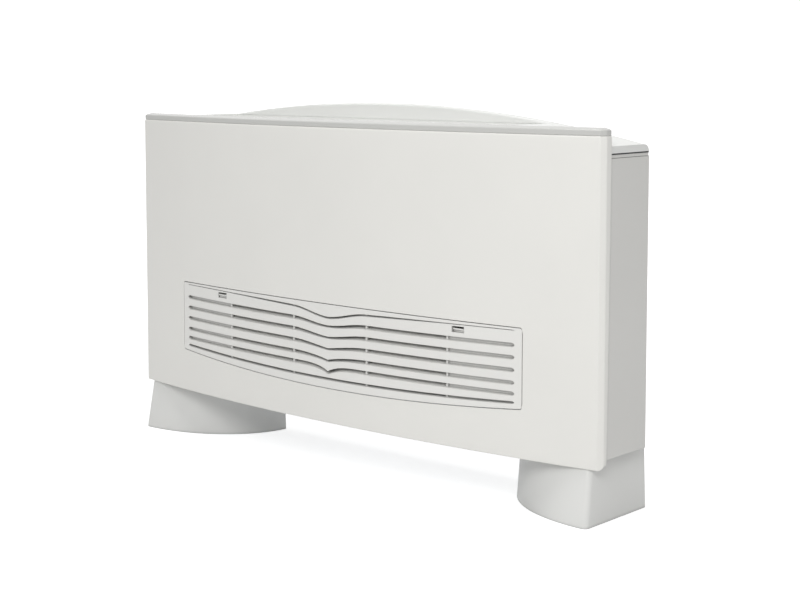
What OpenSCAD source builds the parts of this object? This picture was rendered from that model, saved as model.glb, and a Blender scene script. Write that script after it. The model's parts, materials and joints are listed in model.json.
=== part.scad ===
// Floor-standing fan coil unit with a bowed front panel, wavy intake grille and vaulted outlet head.
// Origin: middle of the footprint on the floor. X along the width, Y towards the wall, Z up.

/* [Casing] */
// Width over the front panel
body_w = 1030; // [980:5:1100]
// Depth from the wall face to the middle of the bowed front
body_d = 185; // [181:1:200]
// Distance from the wall face to the rear edge of the painted casing
wall_gap = 25; // [20:1:32]
// How far the front panel bows forward at its middle
bow = 39; // [34:1:44]
// Height of the front panel's lower edge above the floor
panel_z0 = 86; // [80:1:92]
// Height of the front panel
panel_h = 489; // [480:1:510]
// Thickness of the painted front sheet
sheet = 1.5; // [1:0.1:2]
// Radius of the upright corners of the front panel
corner_r = 6; // [4:0.5:9]
// Radius of the lower corners of the front panel, seen from the front
low_corner_r = 12; // [6:1:20]
// Depth of the panel's side return at its top
return_top = 23; // [16:1:30]
// Depth of the panel's side return at its bottom
return_low = 9; // [6:1:14]
// Height of the side panels' lower edge above the floor
side_z0 = 100; // [96:1:104]
// Thickness of the side panels and the zinc-coated chassis sheet
steel = 1.2; // [0.8:0.1:1.5]
// Distance from the end of the front panel in to the chassis side plate
chassis_inset = 20; // [17:1:26]

/* [Outlet head] */
// Height of the plastic rim on top of the front panel
rim_h = 12; // [9:0.5:15]
// Width of that rim
rim_w = 14; // [11:0.5:16]
// Edge radius of that rim
rim_r = 3; // [1:0.5:4]
// Rise of the vaulted roof above the rim, at the middle
roof_rise = 25; // [18:1:30]
// Drop of the vaulted roof below the rim, at the ends
roof_drop = 28; // [24:1:32]
// Wall thickness of the moulded plastic pieces
wall = 2.5; // [2:0.1:3.5]
// Radius of the roof's rear edge
roof_rear_r = 12; // [6:1:16]
// Radius of the front edge of the roof's crown
crown_r = 3; // [2.5:0.25:5]
// Depth of the roof's crown strip behind the outlet
crown_d = 30; // [26:1:36]
// Half length of the open bay in the roof
bay_half = 355; // [340:1:370]
// Depth of the outlet deck below the top of the rim
deck_drop = 7; // [5:0.5:9]
// Width of the deck's border round the louvre opening
deck_border = 20; // [14:1:24]
// Thickness of a louvre blade at its middle
louvre_t = 4; // [3:0.5:5]
// Height of the duct collar under the outlet deck
collar_h = 24; // [22:1:30]

/* [Intake grille] */
// Half width of the intake grille
grille_half = 383; // [370:1:395]
// Height of the grille's straight upper edge above the floor
grille_z1 = 284.5; // [278:0.5:290]
// Height of the grille at its ends
grille_h = 122; // [119:1:126]
// Extra drop of the grille's curved lower edge at the middle
grille_sag = 17.4; // [14:0.2:20]
// Corner radius of the grille
grille_corner_r = 4; // [2:0.5:6]
// Gap between the grille and the panel opening
grille_gap = 1.2; // [0.8:0.1:1.6]
// Depth of the slats
slat_depth = 12; // [10:0.5:13]
// Opening between two slats
slot_h = 7.2; // [6:0.2:8]
// Slope of the slots, rising inwards
slot_tilt = 25; // [15:1:30]
// Depth of the slots beyond the outer ribs, where they are blind
blind_d = 5; // [4:0.5:7]
// Plain border at the ends of the slots
slot_margin = 13; // [10:0.5:18]
// Half width of the wave at the middle of the slats
wave_half = 83; // [70:1:95]
// Distance of the outer ribs from the middle
outer_rib_x = 246; // [225:1:252]
// Thickness of the ribs behind the slats
rib_t = 4; // [2.5:0.5:5]
// Distance of the latches from the middle
latch_x = 268; // [266:1:280]
// Width of a latch
latch_w = 23; // [18:1:26]
// Travel of a latch
latch_travel = 4; // [3:0.5:5]

/* [Feet] */
// Distance from the end of the front panel in to the side of a foot, at the floor
foot_inset = 15; // [10:1:22]
// Length of a foot along the front
foot_len = 214; // [200:1:225]
// Flare of a foot's front from its top to the floor
foot_flare = 17.5; // [10:0.5:22]
// Flare of a foot's outer and inner sides
foot_side_flare = 3.5; // [1:0.5:6]
// Front of a foot at its top, behind the ends of the front panel
foot_setback = 2.5; // [2:0.5:8]
// Wall thickness of a foot
foot_wall = 3; // [2.5:0.25:4]
// Radius of a foot's upright outer corner
foot_corner_r = 9; // [6:1:14]

/* [Fan] */
// Outer radius of the fan wheels
wheel_r = 42; // [38:0.5:43]
// Number of blades on a wheel
blade_count = 32; // [20:1:36]
// Radius of the fan shaft
shaft_r = 5; // [4:0.25:6]
// Height of the fan shaft above the floor
fan_z = 205; // [200:1:208]
// Radius of the fan motor
motor_r = 42; // [38:1:44]
// Length of the fan motor's body
motor_len = 104; // [90:2:110]

/* [Coil] */
// Room between the finned block and the chassis side plates, for bends and headers
coil_room = 55; // [52:1:70]
// Thickness of the finned block
coil_t = 44; // [40:1:46]
// Height of the finned block along its slope
coil_h = 190; // [170:2:194]
// Lean of the coil towards the wall
coil_lean = 20; // [16:1:22]
// Radius of the copper tubes
tube_r = 4.8; // [4:0.2:5.2]
// Bore radius of the water unions
union_r = 9.5; // [8:0.25:10]
// Outer radius of the drain spout
spout_r = 8; // [6:0.5:9]

/* [Electrics] */
// Width of the control box beside the blower
box_w = 83.5; // [70:0.5:95]
// Height of the control box
box_h = 103; // [90:1:110]

/* [Fits] */
// Gap between neighbouring casing pieces
seam = 0.8; // [0.5:0.1:1]
// Gap between pieces that only lie against each other
lay = 0.3; // [0.2:0.05:0.4]
// Radial clearance of shafts and pins in their bores
run = 0.05; // [0.03:0.01:0.08]
// Radius of the wall fixing holes
wall_hole_r = 4.5; // [3.5:0.25:5.5]
// Half distance between the wall fixing holes
wall_hole_x = 400; // [380:5:420]
// Radius of the leg bolts
bolt_r = 3; // [2.5:0.25:3.5]

/* [Hidden] */
$fn = 64;
// Facets of a full turn on the widest arcs
wide_fn = 1440;
past = 1;

half_w = body_w / 2;
y_wall = body_d / 2;
y_back = y_wall - wall_gap;
y_mid = -body_d / 2;
y_end = y_mid + bow;
bow_r = (half_w * half_w + bow * bow) / (2 * bow);
bow_c = y_mid + bow_r;
function front_y(x) = bow_c - sqrt(bow_r * bow_r - x * x);

panel_z1 = panel_z0 + panel_h;
rim_z1 = panel_z1 + rim_h;
roof_z1 = rim_z1 + roof_rise;
roof_span = roof_rise + roof_drop;
roof_r = (half_w * half_w + roof_span * roof_span) / (2 * roof_span);
roof_c = roof_z1 - roof_r;
roof_angle = asin(half_w / roof_r) + 1;

// Upright corner of the front panel: a small arc tangent to the bow and to the side
corner_x = half_w - corner_r;
corner_y = bow_c - sqrt((bow_r - corner_r) * (bow_r - corner_r) - corner_x * corner_x);
sweep = asin(corner_x / (bow_r - corner_r));
bow_steps = 64;
return_y = y_end + return_top;

// Side panels lie just inside the panel's returns, the chassis plates further in
side_x = half_w - sheet - seam;
chassis_x = half_w - chassis_inset;
chassis_y0 = y_end + 5;
back_in = y_wall - steel;
room_y1 = y_back - steel;
cap_gap = 10;
cap_z0 = rim_z1 - roof_drop - cap_gap;
side_z1 = cap_z0 - seam;
joggle_h = 6.5;
joggle_in = 0.8;
base_z = side_z0 + 5;
base_top = base_z + steel;
deck_low_z = 300;
flange_in = 6;
knockout_r = 12;
wall_low_z = deck_low_z - 50;
wall_high_z = deck_low_z + 225;

// Feet: a straight loft from the floor to just under the bottom plate, with a folded steel leg inside
foot_half = half_w - foot_inset;
foot_z1 = base_z - lay;
foot_rear = y_wall - 3;
foot_steps = 18;
foot_n = len(foot_ring(0, 0));
leg_t = 3;
leg_w = 50;
leg_d = 60;
leg_x = foot_half - 77;
leg_y = y_end + foot_setback + foot_wall + 19.5 + leg_d / 2;
leg_bolt_x = [leg_x - 17, leg_x + 17];
nut_h = 5;
pipe_x = leg_x - 71;
pipe_w = 60;
pipe_y0 = chassis_y0 + 44;
pipe_y1 = back_in - 22;

// Rim and outlet bay
rim_in_x = half_w - rim_w;
rim_in_r = 2;
rim_in_y = front_y(rim_in_x) + rim_w;
deck_z1 = rim_z1 - deck_drop;
deck_t = 3;
crown_y = y_back - crown_d;
louvre_count = 3;
louvre_half = bay_half - deck_border;
louvre_y0 = front_y(louvre_half) + rim_w + 6;
louvre_y1 = crown_y - 4;
louvre_pitch = (louvre_y1 - louvre_y0) / louvre_count;
louvre_z = deck_z1 - 10;
louvre_pin_r = 2.5;
louvre_gap = 0.8;
pin_out = 5;

// Intake grille
grille_z0 = grille_z1 - grille_h;
sag_r = (grille_half * grille_half + grille_sag * grille_sag) / (2 * grille_sag);
slot_half = grille_half - slot_margin;
rib_y1 = chassis_y0 - 9;
filter_t = 4;
filter_rail = 10;
filter_mesh_t = 0.8;
filter_half = grille_half - 18;
filter_z0 = grille_z0 + 8;
filter_z1 = grille_z1 - 4;
peg_x = grille_half - 9;
peg_z = grille_z0 + 15;
peg_r = 3;
boss_r = 5;
latch_z = grille_z1 - 13.5;
latch_t = 3;
latch_face = 3;
latch_low = 5.5;
latch_tab = 2.2;
latch_slit = 3;
latch_room = latch_low + latch_travel + 1;

// Drop of each slot below the grille's upper edge at its ends, and how far it sinks to the middle
slot_drop = [26.4, 45.2, 64.4, 83.8, 100.4, 113.8];
slot_arc = [3.3, 3.3, 3.3, 3.3, 3.6, 10.5];
slot_dip = [7.1, 7.1, 7.1, 7.1, 10, 0];
slot_share = [1, 1, 1, 1, 1, 0.65];
slot_neck = [0.5, 0.5, 0.5, 0.55, 0.85, 1];
top_drop = 3.8;
top_arc = 9.2;
top_dip = 9.5;
top_line = 0.6;
top_swell = 1.2;

// Blower: the wheels fill the room between the motor, the bearings and the control box
fan_y = (chassis_y0 + room_y1) / 2;
scroll_r0 = wheel_r + 4.5;
scroll_r1 = room_y1 - fan_y - lay;
scroll_t = 1;
cutoff = 100;
throat_y0 = fan_y + scroll_r0 * cos(cutoff) + scroll_t;
throat_y1 = fan_y + scroll_r1 - scroll_t;
wheel_gap = 8;
box_x1 = chassis_x - steel - lay;
box_x0 = box_x1 - box_w;
box_y0 = chassis_y0 + 14;
box_y1 = room_y1 - 20;
box_z1 = deck_low_z - 30;
box_z0 = box_z1 - box_h;
box_t = 2;
bearing_hub_r = 13;
bearing_hub = 16;
bearing_t = 4;
bearing_w = 30;
bearing_foot = 24;
bearing_x = box_x0 - bearing_foot;
scroll_x0 = motor_len / 2 + 42;
scroll_x1 = bearing_x - 2 * bearing_hub;
wheel_len = scroll_x1 - scroll_x0 - 2 * wheel_gap;
shaft_half = bearing_x + bearing_hub;
clamp_pitch = 8;
clamp_d = 16;
clamp_h = 22;
screw_r = 2;
gland_r = 8;
gland_h = 14;
gland_bore_r = 4.5;
bell_r = 24;
bell_out = 14;
grommet_t = 6;
grommet_w = 8;
cradle_t = 3;
inlet_r = wheel_r - 6;

// Coil, headers and drain
coil_len = 2 * (chassis_x - coil_room);
coil_y = fan_y - 1;
coil_z = deck_low_z + 115;
coil_plate_t = 1.2;
bend_out = 18;
tube_rows = 6;
tube_pitch = (coil_h - 10) / tube_rows;
header_x = coil_len / 2 + 28;
header_r = 8;
header_z0 = 8;
header_z1 = tube_pitch * 2.5 + 6.5;
nut_r = union_r + 5;
nut_d = 24;
union_d = 18;
union_room = 9;
supply_at = tube_pitch * 1.5;
return_at = -tube_pitch * 1.5;
function header_y(along) = coil_y + coil_t / 4 * cos(coil_lean) + along * sin(coil_lean);
function header_z(along) = coil_z - coil_t / 4 * sin(coil_lean) + along * cos(coil_lean);
supply_z = header_z(supply_at);
return_z = header_z(return_at);
tray_half = coil_len / 2 + 34;
tray_d = 52;
tray_t = 1.6;
tray_low = 11;
tray_high = 28;
spout_x = coil_len / 2 + 22;
spout_y = chassis_y0 + 24;
spout_wall = 2.5;
spout_drop = 34;
hose_r = spout_r + 4;

// Extrudes a shape drawn in X and Z from depth y0 back to depth y1
module along_y(y0, y1) {
    translate([0, y1, 0]) rotate([90, 0, 0]) linear_extrude(y1 - y0) children();
}

// Extrudes a shape drawn in Y and Z from x0 to x1
module along_x(x0, x1) {
    translate([x0, 0, 0]) rotate([90, 0, 90]) linear_extrude(x1 - x0) children();
}

// Box between two opposite corners
module block(low, high) {
    translate(low) cube(high - low);
}

module both_ends() {
    children();
    mirror([1, 0, 0]) children();
}

module rod_x(x0, x1, y, z, r) {
    translate([x0, y, z]) rotate([0, 90, 0]) cylinder(r = r, h = x1 - x0);
}

module rod_y(y0, y1, x, z, r) {
    translate([x, y1, z]) rotate([90, 0, 0]) cylinder(r = r, h = y1 - y0);
}

// Upright cylinder whose front is the bow of the panel, set back by inset
module bow_body(inset, z0, z1) {
    translate([0, bow_c, z0]) cylinder(r = bow_r - inset, h = z1 - z0, $fn = wide_fn);
}

// Plan of the panel's face set back by inset, from the left return round the bow to the right return
function corner_pts(inset) = let (r = corner_r - inset)
    [for (i = [0 : 6]) let (a = -90 + sweep + (90 - sweep) * i / 6)
        [corner_x + r * cos(a), corner_y + r * sin(a)]];
function panel_path(inset, rear) = concat(
    [[-half_w + inset, rear]],
    [for (i = [6 : -1 : 0]) [-corner_pts(inset)[i][0], corner_pts(inset)[i][1]]],
    [for (i = [1 : bow_steps - 1]) let (a = -sweep + 2 * sweep * i / bow_steps)
        [(bow_r - inset) * sin(a), bow_c - (bow_r - inset) * cos(a)]],
    corner_pts(inset),
    [[half_w - inset, rear]]);
function backwards(list) = [for (i = [len(list) - 1 : -1 : 0]) list[i]];

// Grille outline in X and Z: straight top, bowed lower edge, rounded corners, grown by grow
function arc_points(cx, cz, r, a0, a1, n) =
    [for (i = [0 : n]) let (a = a0 + (a1 - a0) * i / n) [cx + r * cos(a), cz + r * sin(a)]];

module grille_outline(grow) {
    hx = grille_half + grow;
    z1 = grille_z1 + grow;
    r = grille_corner_r + grow;
    big = sag_r + grow;
    cz = grille_z0 - grille_sag + sag_r;
    edge = asin((hx - r) / (big - r));
    low_x = hx - r;
    low_z = cz - (big - r) * cos(edge);
    polygon(concat(
        arc_points(hx - r, z1 - r, r, 0, 90, 6),
        arc_points(-hx + r, z1 - r, r, 90, 180, 6),
        arc_points(-low_x, low_z, r, 180, 270 - edge, 6),
        [for (i = [1 : 31]) let (a = -edge + 2 * edge * i / 32) [big * sin(a), cz - big * cos(a)]],
        arc_points(low_x, low_z, r, 270 + edge, 360, 6)));
}

// Height of slot i at x: a shallow arc over its length and a wave at the middle,
// round on the upper slots and a sharp gull-wing on the lower ones
function wave(t, sharp) = t >= 1 ? 0
    : (1 - sharp) * (1 + cos(180 * t)) / 2 + sharp * pow(1 - t, 1 + 3 * sharp);
function slot_z(i, x) = grille_z1 - slot_drop[i]
    - slot_arc[i] * (1 - pow(x / slot_half, 2))
    - slot_dip[i] * wave(abs(x) / wave_half, i / 4);
function top_groove_z(x) = grille_z1 - top_drop
    - top_arc * pow(max(0, 1 - abs(x) / slot_half), 1.6)
    - top_dip * wave(abs(x) / wave_half, 0);

// Half opening of slot i at x: rounded ends, and drawn in to its neck where the wave is steep
function slot_open(i, x) = let (
        e = min(1, (slot_half - abs(x)) / slot_h),
        neck = slot_neck[i] + (1 - slot_neck[i]) * min(1, abs(x) / wave_half))
    slot_h / 2 * slot_share[i] * neck * sqrt(max(0, 1 - (1 - e) * (1 - e)));
function top_open(x) = let (e = min(1, (slot_half - abs(x)) / slot_h))
    (top_line + top_swell * max(0, 1 - pow(x / outer_rib_x, 2))) * sqrt(max(0, 1 - (1 - e) * (1 - e)));

// Points along a slot, denser in the wave and at the round ends
function slot_xs(half) = concat(
    [for (i = [0 : 4]) -half + slot_h * (1 - cos(18 * i))],
    [for (i = [1 : 6]) -half + slot_h + (half - slot_h - wave_half) * i / 7],
    [for (i = [0 : 24]) -wave_half + 2 * wave_half * i / 24],
    [for (i = [6 : -1 : 1]) half - slot_h - (half - slot_h - wave_half) * i / 7],
    [for (i = [4 : -1 : 0]) half - slot_h * (1 - cos(18 * i))]);

// Cuts one sloping slot; rows of upper and lower heights are carried into the slope's own frame.
// It goes right through up to open_half from the middle and is blind beyond
module slot_cut(xs, mids, opens, open_half) {
    lean = [for (x = xs) -front_y(x) * sin(slot_tilt)];
    n = len(xs);
    reach = 46;
    v_mid = (mids[0] * sin(slot_tilt)) + (y_mid + bow / 2) * cos(slot_tilt);
    low = grille_z0 - grille_sag - 60;
    high = grille_z1 + 60;
    difference() {
        rotate([slot_tilt, 0, 0]) along_y(v_mid - reach, v_mid + reach) polygon(concat(
            [for (k = [0 : n - 1]) [xs[k], (mids[k] + opens[k]) * cos(slot_tilt) + lean[k]]],
            [for (k = [n - 2 : -1 : 1]) [xs[k], (mids[k] - opens[k]) * cos(slot_tilt) + lean[k]]]));
        difference() {
            bow_body(blind_d, low, high);
            block([-open_half, y_mid, low - past], [open_half, y_wall, high + past]);
        }
    }
}

// Lower end of a rib at x, just above the grille's bowed lower edge
function rib_z0(x) = grille_z0 + 5 - grille_sag * (1 - pow(x / grille_half, 2));

// Shell of the roof: the vault with a round rear edge, inset from the outside
module vault(inset, y0, front_r) {
    deep = roof_span + 30;
    rear = y_back - inset;
    rr = roof_rear_r - inset;
    translate([0, 0, roof_c]) rotate([-90, 0, 0]) rotate([0, 0, -90 - roof_angle])
        rotate_extrude(angle = 2 * roof_angle, $fn = wide_fn) translate([roof_r - inset, 0]) {
            translate([-deep, y0 + front_r]) square([deep, rear - rr - y0 - front_r]);
            translate([-deep, y0 + front_r]) square([deep - rr, rear - y0 - front_r]);
            translate([-rr, rear - rr]) circle(rr, $fn = 32);
            if (front_r > 0) {
                translate([-deep, y0]) square([deep - front_r, 2 * front_r]);
                translate([-front_r, y0 + front_r]) circle(front_r, $fn = 32);
            }
        }
}

// Wall plate of the chassis: its top is folded forward under the roof,
// and it has a window for the water unions
module back_plate() {
    color("lightslategray") difference() {
        along_x(-chassis_x, chassis_x) polygon([
            [back_in, base_z],
            [y_wall, base_z],
            [y_wall, side_z1],
            [y_back - flange_in, side_z1],
            [y_back - flange_in, side_z1 - steel],
            [back_in, side_z1 - steel]]);
        for (m = [-1, 1]) for (z = [wall_low_z, wall_high_z])
            rod_y(back_in - past, y_wall + past, m * wall_hole_x, z, wall_hole_r);
        block([-header_x - union_r - union_room, back_in - past, return_z - union_r - union_room],
            [-header_x + union_r + union_room, y_wall + past, supply_z + union_r + union_room]);
    }
}

// Side plate of the chassis with two knock-outs for pipes and cables
module chassis_side() {
    difference() {
        block([chassis_x - steel, chassis_y0, base_top], [chassis_x, back_in, side_z1 - steel]);
        for (z = [deck_low_z + 60, deck_low_z + 150])
            rod_x(chassis_x - steel - past, chassis_x + past, fan_y, z, knockout_r);
    }
}
module chassis_side_left() { color("lightslategray") mirror([1, 0, 0]) chassis_side(); }
module chassis_side_right() { color("lightslategray") chassis_side(); }

// Bottom plate with the leg bolts' holes, two pipe ways and the drain hose's hole
module bottom_plate() {
    color("lightslategray") difference() {
        block([-chassis_x, chassis_y0, base_z], [chassis_x, back_in, base_top]);
        for (x = leg_bolt_x) for (m = [-1, 1])
            translate([m * x, leg_y, base_z - past]) cylinder(r = bolt_r + lay, h = steel + 2 * past);
        for (m = [-1, 1]) block([m * pipe_x - pipe_w / 2, pipe_y0, base_z - past],
            [m * pipe_x + pipe_w / 2, pipe_y1, base_top + past]);
        translate([-spout_x, spout_y, base_z - past]) cylinder(r = hose_r, h = steel + 2 * past);
    }
}

// Deck between blower and coil, open over the two fan throats
module fan_deck() {
    color("lightslategray") difference() {
        block([-chassis_x + steel + lay, chassis_y0, deck_low_z],
            [chassis_x - steel - lay, back_in - lay, deck_low_z + steel]);
        both_ends() block([scroll_x0 + scroll_t, throat_y0, deck_low_z - past],
            [scroll_x1 - scroll_t, throat_y1, deck_low_z + steel + past]);
        translate([-spout_x, spout_y, deck_low_z - past])
            cylinder(r = spout_r - 1 + lay, h = steel + 2 * past);
    }
}

// Sheet frame behind the grille; the two pegs carry the grille
module intake_frame() {
    color("lightslategray") {
        difference() {
            block([-chassis_x, chassis_y0 - steel, base_z], [chassis_x, chassis_y0, deck_low_z + steel]);
            block([-filter_half, chassis_y0 - steel - past, filter_z0],
                [filter_half, chassis_y0 + past, filter_z1]);
        }
        both_ends() rod_y(front_y(peg_x) + slat_depth + 2, chassis_y0 - steel, peg_x, peg_z, peg_r);
    }
}

// Painted side panel: a flat sheet with a set-in strip along its top and a flange at its rear
module side_panel() {
    block([side_x - steel, chassis_y0, side_z0], [side_x, y_back, side_z1 - joggle_h]);
    block([side_x - steel - joggle_in, chassis_y0, side_z1 - joggle_h - steel],
        [side_x - joggle_in, y_back - joggle_in, side_z1]);
    block([chassis_x + lay, room_y1, base_z], [side_x, y_back, side_z1 - joggle_h]);
}
module side_panel_left() { color("gainsboro") mirror([1, 0, 0]) side_panel(); }
module side_panel_right() { color("gainsboro") side_panel(); }

// Bowed front sheet with tapered side returns, rounded lower corners and the grille opening
module front_panel() {
    low_z = panel_z0 + low_corner_r;
    color("whitesmoke") difference() {
        intersection() {
            translate([0, 0, panel_z0]) linear_extrude(panel_h)
                polygon(concat(panel_path(0, return_y), backwards(panel_path(sheet, return_y))));
            along_y(y_mid - past, return_y + past) polygon(concat(
                [[half_w + past, panel_z1], [-half_w - past, panel_z1], [-half_w - past, low_z]],
                arc_points(-half_w + low_corner_r, low_z, low_corner_r, 180, 270, 8),
                arc_points(half_w - low_corner_r, low_z, low_corner_r, 270, 360, 8),
                [[half_w + past, low_z]]));
        }
        along_y(y_mid - past, return_y) grille_outline(grille_gap);
        along_x(-half_w - past, half_w + past) polygon([
            [y_end + return_low, panel_z0 - past],
            [return_y, panel_z1 + past],
            [return_y + past, panel_z1 + past],
            [return_y + past, panel_z0 - past]]);
    }
}

// Rim: a section with a round upper outer edge carried along the panel's path;
// its inner side has small corners
function rim_inner_pts() = [for (i = [0 : 6]) let (a = -90 + 15 * i)
    [rim_in_x - rim_in_r + rim_in_r * cos(a), rim_in_y + rim_in_r + rim_in_r * sin(a)]];
function rim_inner() = let (reach = asin((rim_in_x - rim_in_r) / (bow_r - rim_w))) concat(
    [[-rim_in_x, return_y]],
    [for (i = [6 : -1 : 0]) [-rim_inner_pts()[i][0], rim_inner_pts()[i][1]]],
    [for (i = [1 : bow_steps - 1]) let (a = -reach + 2 * reach * i / bow_steps)
        [(bow_r - rim_w) * sin(a), bow_c - (bow_r - rim_w) * cos(a)]],
    rim_inner_pts(),
    [[rim_in_x, return_y]]);
function raised(points, z) = [for (p = points) [p[0], p[1], z]];

module top_rim() {
    rings = concat(
        [raised(panel_path(0, return_y), panel_z1)],
        [for (i = [0 : 6]) raised(panel_path(rim_r * (1 - cos(15 * i)), return_y),
            rim_z1 - rim_r * (1 - sin(15 * i)))],
        [raised(rim_inner(), rim_z1), raised(rim_inner(), panel_z1)]);
    n = len(rings[0]);
    count = len(rings);
    color("lightgray") polyhedron(
        points = [for (ring = rings) for (p = ring) p],
        faces = concat(
            [for (k = [0 : count - 1]) for (j = [0 : n - 2]) for (half = [0, 1]) let (
                a = k * n + j,
                c = ((k + 1) % count) * n + j + 1,
                d = ((k + 1) % count) * n + j)
                half == 0 ? [a, d, c] : [a, c, k * n + j + 1]],
            [[for (k = [count - 1 : -1 : 0]) k * n], [for (k = [0 : count - 1]) k * n + n - 1]]),
        convexity = 6);
}

// Crown strip of the vaulted roof, behind the open outlet bay
module outlet_roof() {
    groove = 0.8;
    groove_z = rim_z1 - 2;
    color("whitesmoke") difference() {
        intersection() {
            vault(0, crown_y, crown_r);
            block([-bay_half, crown_y - past, cap_z0], [bay_half, y_back + past, roof_z1 + past]);
        }
        intersection() {
            vault(wall, crown_y + wall, 0);
            block([-bay_half + wall, crown_y, cap_z0 - past], [bay_half - wall, y_back, roof_z1]);
        }
        block([-bay_half - past, crown_y - past, cap_z0 - past],
            [bay_half + past, crown_y + 2 * wall, deck_z1 - deck_t]);
        block([-bay_half - past, crown_y - past, groove_z],
            [bay_half + past, crown_y + groove, groove_z + groove]);
    }
}

// End of the vaulted roof, from the outlet bay out to the side panel
module end_cap() {
    difference() {
        intersection() {
            vault(0, y_mid, 0);
            bow_body(rim_w + seam, cap_z0, roof_z1);
            block([bay_half + seam / 2, y_mid - past, cap_z0], [side_x, y_back + past, roof_z1]);
        }
        intersection() {
            vault(wall, y_mid - past, 0);
            block([bay_half + seam / 2 + wall, y_mid - 2 * past, cap_z0 - past],
                [side_x - wall, y_back, roof_z1]);
        }
    }
}
module end_cap_left() { color("gainsboro") mirror([1, 0, 0]) end_cap(); }
module end_cap_right() { color("gainsboro") end_cap(); }

// Sunken deck of the outlet with a duct collar that carries the louvre pins
module outlet_deck() {
    color("lightgray") difference() {
        union() {
            intersection() {
                bow_body(rim_w + seam, deck_z1 - deck_t, deck_z1);
                block([-bay_half + lay, y_mid, deck_z1 - deck_t], [bay_half - lay, crown_y - lay, deck_z1]);
            }
            block([-louvre_half - wall, louvre_y0 - wall, deck_z1 - deck_t - collar_h],
                [louvre_half + wall, louvre_y1 + wall, deck_z1 - deck_t]);
        }
        block([-louvre_half, louvre_y0, deck_z1 - deck_t - collar_h - past],
            [louvre_half, louvre_y1, deck_z1 + past]);
        for (i = [0 : louvre_count - 1])
            rod_x(-louvre_half - wall - past, louvre_half + wall + past,
                louvre_axis_y(i), louvre_z, louvre_pin_r + run);
    }
}
function louvre_axis_y(i) = louvre_y0 + louvre_pitch * (i + 0.5);

// Louvre blade: a lens section along the outlet, with a pin at each end
module louvre(i) {
    half = (louvre_pitch - louvre_gap) / 2;
    lens_r = (half * half + louvre_t * louvre_t / 4) / louvre_t;
    y = louvre_axis_y(i);
    color("white") {
        along_x(-louvre_half + lay, louvre_half - lay) intersection() {
            translate([y, louvre_z + louvre_t / 2 - lens_r]) circle(lens_r, $fn = 256);
            translate([y, louvre_z - louvre_t / 2 + lens_r]) circle(lens_r, $fn = 256);
        }
        rod_x(-louvre_half - pin_out, louvre_half + pin_out, y, louvre_z, louvre_pin_r);
    }
}
module louvre_1() { louvre(0); }
module louvre_2() { louvre(1); }
module louvre_3() { louvre(2); }

// Grille: a bowed plate cut by sloping wavy slots, with ribs, border and bosses behind
module intake_grille() {
    xs = slot_xs(slot_half);
    color("whitesmoke") difference() {
        union() {
            difference() {
                intersection() {
                    bow_body(0, grille_z0 - grille_sag - past, grille_z1 + past);
                    along_y(y_mid - past, y_end + slat_depth) grille_outline(0);
                }
                bow_body(slat_depth, grille_z0 - grille_sag - 2 * past, grille_z1 + 2 * past);
                for (i = [0 : len(slot_drop) - 1])
                    slot_cut(xs, [for (x = xs) slot_z(i, x)], [for (x = xs) slot_open(i, x)], outer_rib_x);
                slot_cut(xs, [for (x = xs) top_groove_z(x)], [for (x = xs) top_open(x)], wave_half);
            }
            for (x = [-outer_rib_x, -wave_half, wave_half, outer_rib_x])
                block([x - rib_t / 2, front_y(x) + slat_depth / 4, rib_z0(x)],
                    [x + rib_t / 2, rib_y1, grille_z1 - 4]);
            for (m = [-1, 1])
                rod_y(front_y(peg_x) + slat_depth - 2, rib_y1 + 6, m * peg_x, peg_z, boss_r);
        }
        for (m = [-1, 1])
            rod_y(front_y(peg_x) + slat_depth, rib_y1 + 7, m * peg_x, peg_z, peg_r + run);
        for (m = [-1, 1]) translate([m * latch_x, 0, 0]) {
            block([-latch_w / 2, y_mid, latch_z - latch_travel],
                [latch_w / 2, rib_y1 - past, latch_z + 5.5]);
            block([-latch_w / 2 - 2, front_y(latch_x) + latch_face, latch_z - latch_room],
                [latch_w / 2 + 2, rib_y1 - past, grille_z1 + past]);
        }
    }
}

// Latch: a sliding plate behind the grille with a finger tab and a slit above it
module grille_latch() {
    y = front_y(latch_x) + latch_face + lay;
    translate([latch_x, 0, 0]) {
        difference() {
            block([-latch_w / 2 + lay, y, latch_z - latch_low],
                [latch_w / 2 - lay, y + latch_t, grille_z1 - lay]);
            block([-latch_w / 2 + 2, y - past, latch_z + latch_tab],
                [latch_w / 2 - 2, y + latch_t + past, latch_z + latch_tab + latch_slit]);
        }
        block([-latch_w / 2 + 1, y - latch_face + 1, latch_z], [latch_w / 2 - 1, y, latch_z + latch_tab]);
    }
}
module grille_latch_left() { color("gainsboro") mirror([1, 0, 0]) grille_latch(); }
module grille_latch_right() { color("gainsboro") grille_latch(); }

module filter_frame() {
    color("dimgray") difference() {
        block([-filter_half + lay, rib_y1 + lay, filter_z0 + lay],
            [filter_half - lay, rib_y1 + lay + filter_t, filter_z1 - lay]);
        for (i = [0 : 2]) block([filter_cell(i) + filter_rail / 2, rib_y1, filter_z0 + filter_rail],
            [filter_cell(i + 1) - filter_rail / 2, rib_y1 + filter_t + past, filter_z1 - filter_rail]);
    }
}
function filter_cell(i) = (i / 3 - 0.5) * (2 * filter_half - filter_rail);

module filter_mesh() {
    y = rib_y1 + lay + (filter_t - filter_mesh_t) / 2;
    color("darkgray") for (i = [0 : 2])
        block([filter_cell(i) + filter_rail / 2 + lay, y, filter_z0 + filter_rail + lay],
            [filter_cell(i + 1) - filter_rail / 2 - lay, y + filter_mesh_t, filter_z1 - filter_rail - lay]);
}

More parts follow.
